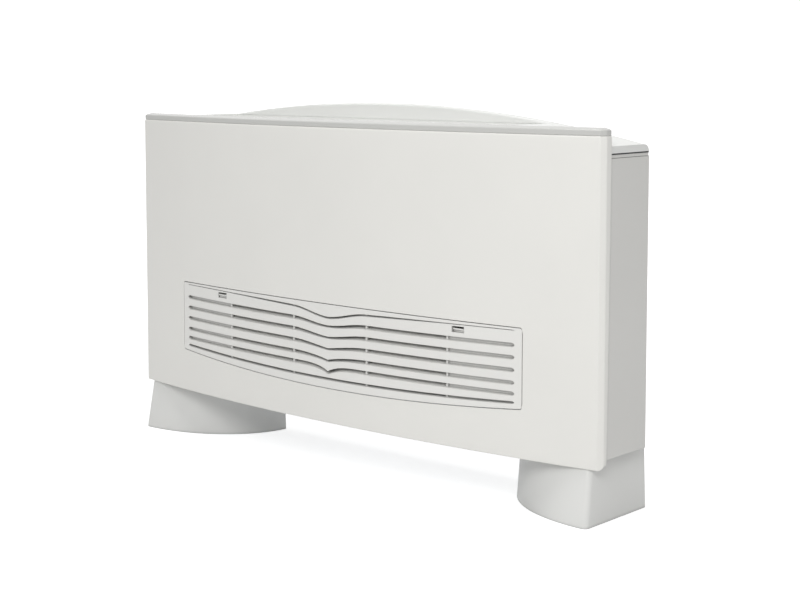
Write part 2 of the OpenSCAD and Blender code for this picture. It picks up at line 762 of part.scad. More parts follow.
// Plan of a foot at height share t (0 floor, 1 top): straight outer side, round outer corner,
// a quarter ellipse sweeping from the front to the inner rear, straight rear
function foot_ring(t, inset) = let (
        out_x = foot_half - foot_side_flare * t - inset,
        in_x = foot_half - foot_len + foot_side_flare * t + inset,
        front = y_end + foot_setback - foot_flare * (1 - t) + inset,
        rear = foot_rear - inset,
        r = foot_corner_r - inset,
        a = out_x - r - in_x,
        b = rear - front) concat(
    [[out_x, rear], [out_x, (rear + front) / 2]],
    [for (i = [0 : 6]) [out_x - r + r * cos(15 * i), front + r - r * sin(15 * i)]],
    [for (i = [1 : foot_steps]) let (s = 90 * i / foot_steps)
        [out_x - r - a * sin(s), front + b * (1 - cos(s))]]);

module foot_shell() {
    rings = [
        raised(foot_ring(0, 0), 0),
        raised(foot_ring(1, 0), foot_z1),
        raised(foot_ring(1, foot_wall), foot_z1),
        raised(foot_ring(0, foot_wall), 0)];
    count = len(rings);
    polyhedron(
        points = [for (ring = rings) for (p = ring) p],
        faces = [for (k = [0 : count - 1]) for (j = [0 : foot_n - 1]) for (half = [0, 1]) let (
            a = k * foot_n + j,
            b = k * foot_n + (j + 1) % foot_n,
            c = ((k + 1) % count) * foot_n + (j + 1) % foot_n,
            d = ((k + 1) % count) * foot_n + j)
            half == 0 ? [a, b, c] : [a, c, d]],
        convexity = 6);
}
module foot_left() { color("silver") mirror([1, 0, 0]) foot_shell(); }
module foot_right() { color("silver") foot_shell(); }

// Steel leg inside each foot, a folded section standing on the floor
module leg() {
    difference() {
        translate([leg_x, leg_y, 0]) {
            block([-leg_w / 2, -leg_d / 2, 0], [leg_w / 2, leg_d / 2, leg_t]);
            block([-leg_t / 2, -leg_d / 2, 0], [leg_t / 2, leg_d / 2, base_z]);
            block([-leg_w / 2, -leg_d / 2, base_z - leg_t], [leg_w / 2, leg_d / 2, base_z]);
        }
        for (x = leg_bolt_x) translate([x, leg_y, base_z - leg_t - past])
            cylinder(r = bolt_r + lay, h = leg_t + 2 * past);
    }
}
module leg_left() { color("lightslategray") mirror([1, 0, 0]) leg(); }
module leg_right() { color("lightslategray") leg(); }

// Bolts through the bottom plate and the legs, with their nuts
module leg_bolts() {
    color("silver") for (m = [-1, 1]) for (x = leg_bolt_x) translate([m * x, leg_y, base_z]) {
        translate([0, 0, steel]) cylinder(r = bolt_r * 1.9, h = bolt_r * 1.3);
        translate([0, 0, -leg_t - nut_h]) cylinder(r = bolt_r, h = leg_t + nut_h + steel + past);
        translate([0, 0, -leg_t - nut_h]) cylinder(r = bolt_r * 1.9, h = nut_h, $fn = 6);
    }
}

// Spiral casing of a fan in Y and Z, opening upwards through the fan deck
module scroll_plan(inset) {
    top = deck_low_z;
    polygon(concat(
        [for (i = [0 : 26]) let (
            a = cutoff + 10 * i,
            r = scroll_r0 + (scroll_r1 - scroll_r0) * i / 26 - inset)
            [fan_y + r * cos(a), fan_z + r * sin(a)]],
        [[fan_y + scroll_r1 - inset, top], [fan_y + scroll_r0 * cos(cutoff) + inset, top]]));
}

module fan_scroll() {
    difference() {
        along_x(scroll_x0, scroll_x1) scroll_plan(0);
        difference() {
            along_x(scroll_x0 + scroll_t, scroll_x1 - scroll_t) scroll_plan(scroll_t);
            block([scroll_x0, y_mid, deck_low_z], [scroll_x1, y_back, deck_low_z + past]);
        }
        block([scroll_x0 + scroll_t, throat_y0, deck_low_z - 8],
            [scroll_x1 - scroll_t, throat_y1, deck_low_z + past]);
        rod_x(scroll_x0 - past, scroll_x1 + past, fan_y, fan_z, inlet_r);
    }
}
module fan_scroll_left() { color("darkslategray") mirror([1, 0, 0]) fan_scroll(); }
module fan_scroll_right() { color("darkslategray") fan_scroll(); }

// Double-inlet wheel: two shroud rings, a middle disc on a hub, forward-curved blades
module fan_wheel() {
    x0 = scroll_x0 + wheel_gap;
    x1 = x0 + wheel_len;
    ring = 4;
    blade_r = 7;
    inner = wheel_r - 9;
    mid = (x0 + x1) / 2;
    difference() {
        union() {
            for (x = [x0, x1 - ring]) difference() {
                rod_x(x, x + ring, fan_y, fan_z, wheel_r);
                rod_x(x - past, x + ring + past, fan_y, fan_z, inner);
            }
            rod_x(mid - 1.5, mid + 1.5, fan_y, fan_z, wheel_r - 1);
            rod_x(mid - 12, mid + 12, fan_y, fan_z, shaft_r + 5);
            translate([0, fan_y, fan_z]) along_x(x0 + ring / 2, x1 - ring / 2)
                for (i = [0 : blade_count - 1])
                rotate(360 * i / blade_count)
                translate([inner + 4, 0])
                difference() {
                    intersection() {
                        translate([0, -blade_r + 3]) circle(blade_r, $fn = 24);
                        translate([-4, -1]) square([8, 6]);
                    }
                    translate([0, -blade_r + 2]) circle(blade_r, $fn = 24);
                }
        }
        rod_x(mid - 13, mid + 13, fan_y, fan_z, shaft_r + lay / 2);
    }
}
module fan_wheel_left() { color("dimgray") mirror([1, 0, 0]) fan_wheel(); }
module fan_wheel_right() { color("dimgray") fan_wheel(); }

module fan_shaft() {
    color("silver") rod_x(-shaft_half, shaft_half, fan_y, fan_z, shaft_r);
}

// Plain bearing hung from the fan deck
module bearing() {
    difference() {
        union() {
            rod_x(bearing_x - bearing_hub / 2, bearing_x + bearing_hub / 2, fan_y, fan_z, bearing_hub_r);
            block([bearing_x - bearing_t / 2, fan_y - bearing_w / 2, fan_z],
                [bearing_x + bearing_t / 2, fan_y + bearing_w / 2, deck_low_z]);
            block([bearing_x - bearing_foot / 2, fan_y - bearing_w / 2, deck_low_z - bearing_t / 2],
                [bearing_x + bearing_foot / 2, fan_y + bearing_w / 2, deck_low_z]);
        }
        rod_x(bearing_x - bearing_hub, bearing_x + bearing_hub, fan_y, fan_z, shaft_r + run);
    }
}
module bearing_left() { color("slategray") mirror([1, 0, 0]) bearing(); }
module bearing_right() { color("slategray") bearing(); }

// Motor body with cooling grooves and a bell at each end
module fan_motor() {
    body = motor_len / 2;
    color("gray") difference() {
        union() {
            rod_x(-body, body, fan_y, fan_z, motor_r);
            rod_x(-body - bell_out, body + bell_out, fan_y, fan_z, bell_r);
        }
        for (i = [0 : 11]) rotate_about_shaft(30 * i) block([-body + 12, fan_y + motor_r - 3, fan_z - 2],
            [body - 12, fan_y + motor_r + past, fan_z + 2]);
        rod_x(-body - bell_out - past, body + bell_out + past, fan_y, fan_z, shaft_r + run);
    }
}
module rotate_about_shaft(a) {
    translate([0, fan_y, fan_z]) rotate([a, 0, 0]) translate([0, -fan_y, -fan_z]) children();
}

module motor_grommets() {
    x0 = motor_len / 2 + 3;
    color("black") both_ends() difference() {
        rod_x(x0, x0 + grommet_w, fan_y, fan_z, bell_r + grommet_t);
        rod_x(x0 - past, x0 + grommet_w + past, fan_y, fan_z, bell_r + lay / 2);
    }
}

// Two hangers that clasp the grommets under the fan deck
module motor_cradle() {
    x0 = motor_len / 2 + 3 + grommet_w / 2 - cradle_t / 2;
    half = bell_r + grommet_t + 8;
    color("lightslategray") both_ends() {
        difference() {
            block([x0, fan_y - half, fan_z - half], [x0 + cradle_t, fan_y + half, deck_low_z]);
            rod_x(x0 - past, x0 + cradle_t + past, fan_y, fan_z, bell_r + grommet_t + lay / 2);
        }
        block([x0, fan_y - half, deck_low_z - cradle_t], [x0 + 20, fan_y + half, deck_low_z]);
    }
}

// Carries pieces drawn on an upright coil at the origin to the coil's leaning place
module coil_place() {
    translate([0, coil_y, coil_z]) rotate([-coil_lean, 0, 0]) children();
}

module coil_fins() {
    groove = 3;
    pitch = 20;
    half = coil_len / 2;
    color("silver") coil_place() difference() {
        block([-half, -coil_t / 2, -coil_h / 2], [half, coil_t / 2, coil_h / 2]);
        for (x = [-half + pitch : pitch : half - pitch]) for (m = [-1, 1])
            block([x - groove / 2, m * coil_t / 2 - groove, -coil_h / 2 - past],
                [x + groove / 2, m * coil_t / 2 + groove, coil_h / 2 + past]);
    }
}

module coil_end_plates() {
    half = coil_len / 2;
    flange = chassis_x - steel - half - lay;
    color("lightslategray") both_ends() coil_place() difference() {
        union() {
            block([half, -coil_t / 2, -coil_h / 2], [half + coil_plate_t, coil_t / 2, coil_h / 2]);
            for (z = [-coil_h / 2, coil_h / 2 - coil_plate_t])
                block([half, -coil_t / 2, z], [half + flange, coil_t / 2, z + coil_plate_t]);
        }
        for (i = [0 : tube_rows - 1]) for (m = [-1, 1])
            rod_x(half - past, half + coil_plate_t + past, m * coil_t / 4, coil_tube_z(i), tube_r + lay);
    }
}
function coil_tube_z(i) = tube_pitch * (i - (tube_rows - 1) / 2);

// One half-round bend between tube i and the next, opening towards the coil
module tube_bend(i, row) {
    translate([coil_len / 2, row * coil_t / 4, (coil_tube_z(i) + coil_tube_z(i + 1)) / 2]) {
        for (s = [-1, 1]) translate([0, 0, s * tube_pitch / 2]) rotate([0, 90, 0])
            cylinder(r = tube_r, h = bend_out);
        translate([bend_out, 0, 0]) rotate([-90, 0, 0]) rotate([0, 0, -90])
            rotate_extrude(angle = 180) translate([tube_pitch / 2, 0]) circle(tube_r);
    }
}

module coil_bends() {
    color("peru") coil_place() {
        for (i = [0 : 2 : tube_rows - 2]) for (row = [-1, 1]) tube_bend(i, row);
        mirror([1, 0, 0]) for (i = [1 : 2 : tube_rows - 3]) tube_bend(i, -1);
    }
}

// Header pipe along the rear tube row, with stubs into the coil and a union through the back plate
module header(z0, z1, at, first) {
    nut_y = back_in - nut_d;
    difference() {
        union() {
            coil_place() {
                translate([-header_x, coil_t / 4, z0]) cylinder(r = header_r, h = z1 - z0);
                for (i = [first : first + 2])
                    rod_x(-header_x, -coil_len / 2, coil_t / 4, coil_tube_z(i), tube_r);
            }
            rod_y(header_y(at), nut_y + 1, -header_x, header_z(at), header_r);
            rod_y(nut_y, y_wall, -header_x, header_z(at), nut_r);
        }
        rod_y(back_in - union_d, y_wall + past, -header_x, header_z(at), union_r);
    }
}
module supply_header() { color("peru") header(header_z0, header_z1, supply_at, 3); }
module return_header() { color("peru") header(-header_z1, -header_z0, return_at, 0); }

// Bleed screw on the upper end of the supply header
module air_vent() {
    color("goldenrod") coil_place() translate([-header_x, coil_t / 4, header_z1]) {
        cylinder(r = 6, h = 5, $fn = 6);
        translate([0, 0, 4]) cylinder(r = 3, h = 5);
    }
}

// Drain tray with a high front wall, under the low edge of the coil
module drain_tray() {
    y0 = chassis_y0 + lay;
    y1 = chassis_y0 + tray_d;
    z0 = deck_low_z + steel;
    low = z0 + tray_low;
    high = z0 + tray_high;
    color("whitesmoke") difference() {
        along_x(-tray_half, tray_half) polygon([[y0, z0], [y1, z0], [y1, low], [y1 - tray_t, low],
            [y1 - tray_t, z0 + tray_t], [y0 + tray_t, z0 + tray_t], [y0 + tray_t, high], [y0, high]]);
        translate([-spout_x, spout_y, z0 - past]) cylinder(r = spout_r - spout_wall, h = tray_t + 2 * past);
    }
    color("whitesmoke") both_ends() block([tray_half, y0, z0], [tray_half + tray_t, y1, low]);
}

// Hose spout under the tray, through the fan deck
module drain_spout() {
    color("gray") translate([-spout_x, spout_y, deck_low_z + steel - spout_drop]) difference() {
        union() {
            cylinder(r = spout_r, h = spout_drop - steel - lay);
            cylinder(r = spout_r - 1, h = spout_drop);
        }
        translate([0, 0, -past]) cylinder(r = spout_r - spout_wall, h = spout_drop + 2 * past);
    }
}

// Open-fronted control box on the chassis side, with the gland's hole in its floor
module control_box() {
    color("gainsboro") difference() {
        block([box_x0, box_y0, box_z0], [box_x1, box_y1, box_z1]);
        block([box_x0 + box_t, box_y0 - past, box_z0 + box_t],
            [box_x1 - box_t, box_y1 - box_t, box_z1 - box_t]);
        gland_place() translate([0, 0, -past]) cylinder(r = gland_r + lay / 2, h = box_t + 2 * past);
    }
}
module gland_place() {
    translate([(box_x0 + box_x1) / 2, (box_y0 + box_y1) / 2, box_z0]) children();
}

// Row of wire clamps on the rear wall of the control box
module terminal_block() {
    wide = clamp_pitch - 0.5;
    y0 = box_y1 - box_t - lay - clamp_d;
    color("seagreen") for (i = [0 : 4])
        translate([box_x0 + 6 + i * clamp_pitch, y0, box_z0 + 40]) difference() {
            cube([wide, clamp_d, clamp_h]);
            translate([wide / 2, 6, clamp_h / 2]) cylinder(r = screw_r, h = clamp_h);
            translate([1.5, -past, 4]) cube([wide - 3, clamp_d / 2, 6]);
        }
}

// Cable gland in the control box's floor: hexagon body, stem and bore
module cable_gland() {
    color("dimgray") gland_place() difference() {
        union() {
            translate([0, 0, -gland_h]) cylinder(r = gland_r + 2, h = gland_h, $fn = 6);
            translate([0, 0, -lay]) cylinder(r = gland_r, h = gland_h - 4);
        }
        translate([0, 0, -gland_h - past]) cylinder(r = gland_bore_r, h = 2 * gland_h + 2 * past);
    }
}

back_plate();
chassis_side_left();
chassis_side_right();
bottom_plate();
fan_deck();
intake_frame();
side_panel_left();
side_panel_right();
front_panel();
top_rim();
outlet_roof();
end_cap_left();
end_cap_right();
outlet_deck();
louvre_1();
louvre_2();
louvre_3();
intake_grille();
grille_latch_left();
grille_latch_right();
filter_frame();
filter_mesh();
foot_left();
foot_right();
leg_left();
leg_right();
leg_bolts();
fan_scroll_left();
fan_scroll_right();
fan_wheel_left();
fan_wheel_right();
fan_shaft();
bearing_left();
bearing_right();
fan_motor();
motor_grommets();
motor_cradle();
coil_fins();
coil_end_plates();
coil_bends();
supply_header();
return_header();
air_vent();
drain_tray();
drain_spout();
control_box();
terminal_block();
cable_gland();
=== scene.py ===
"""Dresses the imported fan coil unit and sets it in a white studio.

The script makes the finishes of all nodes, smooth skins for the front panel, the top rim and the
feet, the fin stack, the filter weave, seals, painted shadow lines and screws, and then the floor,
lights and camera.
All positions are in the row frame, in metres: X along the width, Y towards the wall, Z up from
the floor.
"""

import json
import logging
import math
from dataclasses import dataclass, field, replace
from enum import Enum

import bpy
import numpy as np
from mathutils import Matrix, Vector


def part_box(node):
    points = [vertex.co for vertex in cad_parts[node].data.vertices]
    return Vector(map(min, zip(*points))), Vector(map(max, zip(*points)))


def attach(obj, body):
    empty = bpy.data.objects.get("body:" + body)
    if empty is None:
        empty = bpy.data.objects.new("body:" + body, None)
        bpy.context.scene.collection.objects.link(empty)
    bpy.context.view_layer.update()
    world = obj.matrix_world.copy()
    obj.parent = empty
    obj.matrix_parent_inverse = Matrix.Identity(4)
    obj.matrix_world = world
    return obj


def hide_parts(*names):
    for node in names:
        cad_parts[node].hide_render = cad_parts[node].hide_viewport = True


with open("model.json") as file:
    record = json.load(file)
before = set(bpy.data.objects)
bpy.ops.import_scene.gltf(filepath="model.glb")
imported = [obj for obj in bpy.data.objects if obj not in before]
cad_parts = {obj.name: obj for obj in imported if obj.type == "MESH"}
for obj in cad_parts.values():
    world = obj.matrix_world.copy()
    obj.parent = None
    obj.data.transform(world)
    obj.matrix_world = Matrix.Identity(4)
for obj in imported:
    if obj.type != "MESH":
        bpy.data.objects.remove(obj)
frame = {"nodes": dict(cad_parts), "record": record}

LOG = logging.getLogger("fan_coil_unit")
MM = 0.001
WHITE = (1.0, 1.0, 1.0, 1.0)
MIRROR = np.array([-1.0, 1.0, 1.0])

Tree = bpy.types.NodeTree
Socket = bpy.types.NodeSocket


class Grain(Enum):
    """What the fine relief of a finish looks like."""

    FINE = "fine"
    BRUSHED = "brushed"
    WOVEN = "woven"
    SPANGLE = "spangle"


class Side(Enum):
    """The two ends of the unit, with the sign of X."""

    LEFT = -1
    RIGHT = 1


@dataclass(frozen=True)
class Finish:
    """One surface finish.

    Attributes:
        colour: Linear base colour.
        roughness: Middle roughness.
        metallic: Metallic share.
        grain: Kind of fine relief.
        grain_scale: Scale of the relief, in cells per metre.
        relief: Strength of the relief.
        mottle: Share by which the colour drifts over the surface.
        coat: Weight of a clear top coat.
        edge: Radius over which edges look eased, 0 for none.
        edge_wear_and_sheen: Share by which eased edges turn lighter, partly as wear and partly as a
            painted highlight.
        recess_shade: Share by which narrow recesses and places next to other parts turn darker, as
            painted shade.
    """

    colour: tuple[float, float, float]
    roughness: float
    metallic: float = 0.0
    grain: Grain = Grain.FINE
    grain_scale: float = 900.0
    relief: float = 0.03
    mottle: float = 0.03
    coat: float = 0.0
    edge: float = 0.0
    edge_wear_and_sheen: float = 0.0
    recess_shade: float = 0.0


PANEL_PAINT = Finish(
    (0.812, 0.805, 0.77), 0.36, grain_scale=420.0, relief=0.035, mottle=0.012, coat=0.12,
    edge=0.8 * MM, edge_wear_and_sheen=0.05,
)
TRIM_PLASTIC = Finish(
    (0.79, 0.795, 0.775), 0.42, grain_scale=1600.0, relief=0.05, mottle=0.015, edge=0.6 * MM,
    edge_wear_and_sheen=0.04,
)

# Finishes by name: one for each material slot, and variants of a slot for single nodes.
FINISHES: dict[str, Finish] = {
    "panel_paint": PANEL_PAINT,
    # The side panels carry the front's paint; this darker copy of it is painted shade for the
    # sides.
    "shaded_side_paint": replace(PANEL_PAINT, colour=(0.66, 0.655, 0.63)),
    "trim_plastic": TRIM_PLASTIC,
    # The grille's darker slots are painted shade.
    "grille_plastic": replace(
        TRIM_PLASTIC, colour=(0.81, 0.805, 0.777), roughness=0.40, mottle=0.012, edge_wear_and_sheen=0.06,
        recess_shade=0.55,
    ),
    "rim_plastic": replace(
        TRIM_PLASTIC, colour=(0.56, 0.56, 0.54), roughness=0.15, relief=0.04, edge_wear_and_sheen=0.05
    ),
    # The feet's darkening next to the panel's lower edge and the floor is painted shade.
    "foot_plastic": Finish(
        (0.76, 0.762, 0.742), 0.46, grain_scale=1300.0, relief=0.06, mottle=0.02, edge=0.8 * MM,
        edge_wear_and_sheen=0.06, recess_shade=0.45,
    ),
    "zinc_sheet": Finish(
        (0.60, 0.62, 0.64), 0.40, 0.85, Grain.SPANGLE, 130.0, 0.04, 0.14, edge=0.4 * MM, edge_wear_and_sheen=0.12
    ),
    "bright_steel": Finish(
        (0.66, 0.66, 0.67), 0.28, 0.95, Grain.BRUSHED, 500.0, 0.03, 0.05, edge=0.4 * MM, edge_wear_and_sheen=0.08
    ),
    "dark_plastic": Finish(
        (0.035, 0.036, 0.04), 0.5, grain_scale=1200.0, relief=0.06, mottle=0.08, edge=0.5 * MM,
        edge_wear_and_sheen=0.2,
    ),
    "inner_plastic": Finish(
        (0.66, 0.66, 0.63), 0.45, grain_scale=1200.0, relief=0.04, mottle=0.03, edge=0.5 * MM
    ),
    "motor_paint": Finish(
        (0.06, 0.065, 0.075), 0.45, 0.1, grain_scale=500.0, relief=0.08, mottle=0.1, coat=0.1,
        edge=0.8 * MM, edge_wear_and_sheen=0.15,
    ),
    "grommet_rubber": Finish(
        (0.02, 0.02, 0.021), 0.75, grain_scale=1500.0, relief=0.1, mottle=0.1
    ),
    "fin_aluminium": Finish(
        (0.72, 0.73, 0.75), 0.35, 0.9, Grain.BRUSHED, 300.0, 0.04, 0.06
    ),
    "copper_alloy": Finish(
        (0.70, 0.36, 0.21), 0.3, 0.95, Grain.BRUSHED, 400.0, 0.04, 0.14
    ),
    "filter_cloth": Finish(
        (0.12, 0.125, 0.13), 0.8, grain=Grain.WOVEN, grain_scale=900.0, relief=0.3, mottle=0.15
    ),
    "terminal_plastic": Finish(
        (0.05, 0.2, 0.1), 0.32, grain_scale=1200.0, relief=0.03, mottle=0.05, edge=0.4 * MM
    ),
}

NODE_FINISH: dict[str, str] = {
    "top_rim": "rim_plastic",
    # The side panels take the darker copy of the panel paint, painted shade.
    "side_panel_left": "shaded_side_paint",
    "side_panel_right": "shaded_side_paint",
    "intake_grille": "grille_plastic",
    "grille_latch_left": "grille_plastic",
    "grille_latch_right": "grille_plastic",
}


def remap(
    tree: Tree,
    value: Socket,
    start: tuple[float, float],
    end: tuple[float, float],
    interpolation: str = "LINEAR",
) -> Socket:
    """Adds a node that maps a value from one range to another, clamped.

    Args:
        tree: The node tree.
        value: The socket to map.
        start: Range of the value.
        end: Range of the result.
        interpolation: Kind of passage between the ends.

    Returns:
        The mapped socket.
    """
    node = tree.nodes.new("ShaderNodeMapRange")
    node.interpolation_type = interpolation
    node.inputs["From Min"].default_value, node.inputs["From Max"].default_value = start
    node.inputs["To Min"].default_value, node.inputs["To Max"].default_value = end
    tree.links.new(value, node.inputs["Value"])
    return node.outputs["Result"]


def combine(tree: Tree, operation: str, one: Socket, other: Socket) -> Socket:
    """Adds a math node of two values.

    Args:
        tree: The node tree.
        operation: The node's operation.
        one: First value.
        other: Second value.

    Returns:
        The result's socket.
    """
    node = tree.nodes.new("ShaderNodeMath")
    node.operation = operation
    tree.links.new(one, node.inputs[0])
    tree.links.new(other, node.inputs[1])
    return node.outputs["Value"]


class Paintbox:
    """Builds one node material for each finish, once.

    Attributes:
        BRUSH_STRETCH: Scale of the coordinates of brushed grain, which runs along X.
        DRIFT_SCALE: Scale of the slow noise in the colour, in cells per metre.
        DRIFT_DETAIL: Octaves of that noise.
        DRIFT_SPREAD: Part of that noise's range that is used.
        GRAIN_DETAIL: Octaves of the fine grain.
        GRAIN_DEPTH: Depth of the relief at full strength.
        GLOSS_DRIFT: Share by which the roughness follows the grain.
        WEAVE_CELLS: Grain cells to one unit of the weave's wave scale.
        SPANGLE_TONE: Range of the colour from one crystal to the next.
        EDGE_SAMPLES: Samples of an eased edge.
        EDGE_SHEEN_TURN: Cosines of the eased normal's turn where the lighter edge (wear with a
            painted highlight) starts and where it is full.
        RECESS_SHADE_REACH: Distance within which a recess counts for the painted shade.
        RECESS_SHADE_OPEN: Open shares of the surroundings where the painted shade is full and where
            it ends.
    """

    BRUSH_STRETCH = (0.04, 1.0, 1.0)
    DRIFT_SCALE = 6.0
    DRIFT_DETAIL = 3.0
    DRIFT_SPREAD = (0.3, 0.7)
    GRAIN_DETAIL = 2.0
    GRAIN_DEPTH = 0.4 * MM
    GLOSS_DRIFT = 0.12
    WEAVE_CELLS = 6.0
    SPANGLE_TONE = (0.86, 1.12)
    EDGE_SAMPLES = 6
    EDGE_SHEEN_TURN = (0.97, 0.80)
    RECESS_SHADE_REACH = 8 * MM
    RECESS_SHADE_OPEN = (0.30, 0.85)

    def __init__(self) -> None:
        """Starts with no materials made."""
        self._made: dict[str, bpy.types.Material] = {}

    def material(self, name: str) -> bpy.types.Material:
        """Gives the material of a finish.

        Args:
            name: Name of the finish.

        Returns:
            The node material, made on first use.
        """
        if name not in self._made:
            self._made[name] = self._build(name, FINISHES[name])
        return self._made[name]

    def _build(self, name: str, finish: Finish) -> bpy.types.Material:
        """Builds a finish from noise in object coordinates.

        Args:
            name: Name of the material.
            finish: The finish to build.

        Returns:
            A new node material.
        """
        mat = bpy.data.materials.new(name)
        mat.use_nodes = True
        tree = mat.node_tree
        tree.nodes.clear()
        link = tree.links.new
        out = tree.nodes.new("ShaderNodeOutputMaterial")
        bsdf = tree.nodes.new("ShaderNodeBsdfPrincipled")
        place = tree.nodes.new("ShaderNodeTexCoord").outputs["Object"]
        grain, tone = self._grain(tree, finish, place)
        eased = self._eased(tree, finish)

        tint = tree.nodes.new("ShaderNodeVectorMath")
        tint.operation = "SCALE"
        tint.inputs[0].default_value = finish.colour
        link(self._shade(tree, finish, place, tone, eased), tint.inputs["Scale"])
        link(tint.outputs["Vector"], bsdf.inputs["Base Color"])

        gloss = (
            finish.roughness * (1.0 - self.GLOSS_DRIFT),
            finish.roughness * (1.0 + self.GLOSS_DRIFT),
        )
        link(remap(tree, grain, (0.0, 1.0), gloss), bsdf.inputs["Roughness"])
        bump = tree.nodes.new("ShaderNodeBump")
        bump.inputs["Strength"].default_value = finish.relief
        bump.inputs["Distance"].default_value = self.GRAIN_DEPTH
        link(grain, bump.inputs["Height"])
        if eased is not None:
            link(eased, bump.inputs["Normal"])
        link(bump.outputs["Normal"], bsdf.inputs["Normal"])
        bsdf.inputs["Metallic"].default_value = finish.metallic
        bsdf.inputs["Coat Weight"].default_value = finish.coat
        link(bsdf.outputs["BSDF"], out.inputs["Surface"])
        return mat

    def _shade(
        self, tree: Tree, finish: Finish, place: Socket, tone: Socket | None, eased: Socket | None
    ) -> Socket:
        """Adds the factor for the base colour.

        It is 1 + mottle (2 n - 1), with n a slow noise, times the grain's own tone, the lighter
        edges (wear together with a painted highlight) and the painted shade in recesses.

        Args:
            tree: The material's node tree.
            finish: The finish.
            place: The coordinates.
            tone: The grain's factor, or None.
            eased: The eased normal, or None.

        Returns:
            The factor's socket.
        """
        drift = self._noise(tree, place, self.DRIFT_SCALE, self.DRIFT_DETAIL)
        span = (1.0 - finish.mottle, 1.0 + finish.mottle)
        shade = remap(tree, drift, self.DRIFT_SPREAD, span)
        if tone is not None:
            shade = combine(tree, "MULTIPLY", shade, tone)
        # Lighter edges: wear, together with a painted highlight.
        if eased is not None and finish.edge_wear_and_sheen > 0.0:
            shade = combine(tree, "MULTIPLY", shade, self._lighter_edge_factor(tree, finish, eased))
        # Darker recesses and places next to other parts: painted shade.
        if finish.recess_shade > 0.0:
            shade = combine(tree, "MULTIPLY", shade, self._recess_shade_factor(tree, finish))
        return shade

    @staticmethod
    def _noise(tree: Tree, vector: Socket, scale: float, detail: float) -> Socket:
        """Adds a noise.

        Args:
            tree: The material's node tree.
            vector: The coordinates.
            scale: Cells per metre.
            detail: Octaves.

        Returns:
            The noise's socket.
        """
        noise = tree.nodes.new("ShaderNodeTexNoise")
        noise.inputs["Scale"].default_value = scale
        noise.inputs["Detail"].default_value = detail
        tree.links.new(vector, noise.inputs["Vector"])
        return noise.outputs["Fac"]

    def _eased(self, tree: Tree, finish: Finish) -> Socket | None:
        """Adds the normal that looks eased over sharp edges.

        Args:
            tree: The material's node tree.
            finish: The finish.

        Returns:
            The eased normal, or None where the finish has none.
        """
        if finish.edge <= 0.0:
            return None
        node = tree.nodes.new("ShaderNodeBevel")
        node.samples = self.EDGE_SAMPLES
        node.inputs["Radius"].default_value = finish.edge
        return node.outputs["Normal"]

    def _lighter_edge_factor(self, tree: Tree, finish: Finish, eased: Socket) -> Socket:
        """Adds the lighter edges, wear with a painted highlight: 1 + edge_wear_and_sheen where the
        eased normal leaves the face's own.

        Args:
            tree: The material's node tree.
            finish: The finish.
            eased: The eased normal.

        Returns:
            A factor for the colour.
        """
        face = tree.nodes.new("ShaderNodeNewGeometry")
        dot = tree.nodes.new("ShaderNodeVectorMath")
        dot.operation = "DOT_PRODUCT"
        tree.links.new(eased, dot.inputs[0])
        tree.links.new(face.outputs["Normal"], dot.inputs[1])
        return remap(tree, dot.outputs["Value"], self.EDGE_SHEEN_TURN, (1.0, 1.0 + finish.edge_wear_and_sheen))

    def _recess_shade_factor(self, tree: Tree, finish: Finish) -> Socket:
        """Adds painted shade in recesses: 1 - recess_shade where little around is open, 1 in the
        open.

        Args:
            tree: The material's node tree.
            finish: The finish.

        Returns:
            A factor for the colour.
        """
        node = tree.nodes.new("ShaderNodeAmbientOcclusion")
        node.inputs["Distance"].default_value = self.RECESS_SHADE_REACH
        return remap(tree, node.outputs["AO"], self.RECESS_SHADE_OPEN, (1.0 - finish.recess_shade, 1.0))

    def _grain(self, tree: Tree, finish: Finish, place: Socket) -> tuple[Socket, Socket | None]:
        """Adds the fine relief of a finish.

        Args:
            tree: The material's node tree.
            finish: The finish.
            place: The coordinates.

        Returns:
            The socket that carries the relief's height, and a factor for the colour or None.
        """
        stretch = tree.nodes.new("ShaderNodeMapping")
        if finish.grain is Grain.BRUSHED:
            stretch.inputs["Scale"].default_value = self.BRUSH_STRETCH
        tree.links.new(place, stretch.inputs["Vector"])
        vector = stretch.outputs["Vector"]
        if finish.grain is Grain.WOVEN:
            bands = []
            for direction in ("X", "Z"):
                wave = tree.nodes.new("ShaderNodeTexWave")
                wave.bands_direction = direction
                wave.inputs["Scale"].default_value = finish.grain_scale / self.WEAVE_CELLS
                tree.links.new(vector, wave.inputs["Vector"])
                bands.append(wave.outputs["Fac"])
            return combine(tree, "MAXIMUM", *bands), None
        if finish.grain is Grain.SPANGLE:
            cells = tree.nodes.new("ShaderNodeTexVoronoi")
            cells.inputs["Scale"].default_value = finish.grain_scale
            tree.links.new(vector, cells.inputs["Vector"])
            grey = tree.nodes.new("ShaderNodeSeparateColor")
            tree.links.new(cells.outputs["Color"], grey.inputs["Color"])
            tone = remap(tree, grey.outputs["Red"], (0.0, 1.0), self.SPANGLE_TONE)
            return grey.outputs["Green"], tone
        return self._noise(tree, vector, finish.grain_scale, self.GRAIN_DETAIL), None


PAINT = Paintbox()


def quarter(count: int) -> np.ndarray:
    """Angles from 0 to 90 degrees.

    Args:
        count: Number of angles.

    Returns:
        (count,) angles in radians.
    """
    return np.radians(np.linspace(0.0, 90.0, count))


def points(*axes: np.ndarray | float) -> np.ndarray:
    """Points from their coordinates, where a single number holds for all.

    Args:
        *axes: X, Y and Z, of shapes that fit each other.

    Returns:
        The points, with the coordinates along the last axis.
    """
    return np.stack(np.broadcast_arrays(*axes), axis=-1)


def pairs(one: np.ndarray, other: np.ndarray) -> tuple[np.ndarray, np.ndarray]:
    """Every pair of two lists' values.

    Args:
        one: (n,) values.
        other: (m,) values.

    Returns:
        The (n m,) first and second values.
    """
    first, second = np.meshgrid(one, other, indexing="ij")
    return first.reshape(-1), second.reshape(-1)


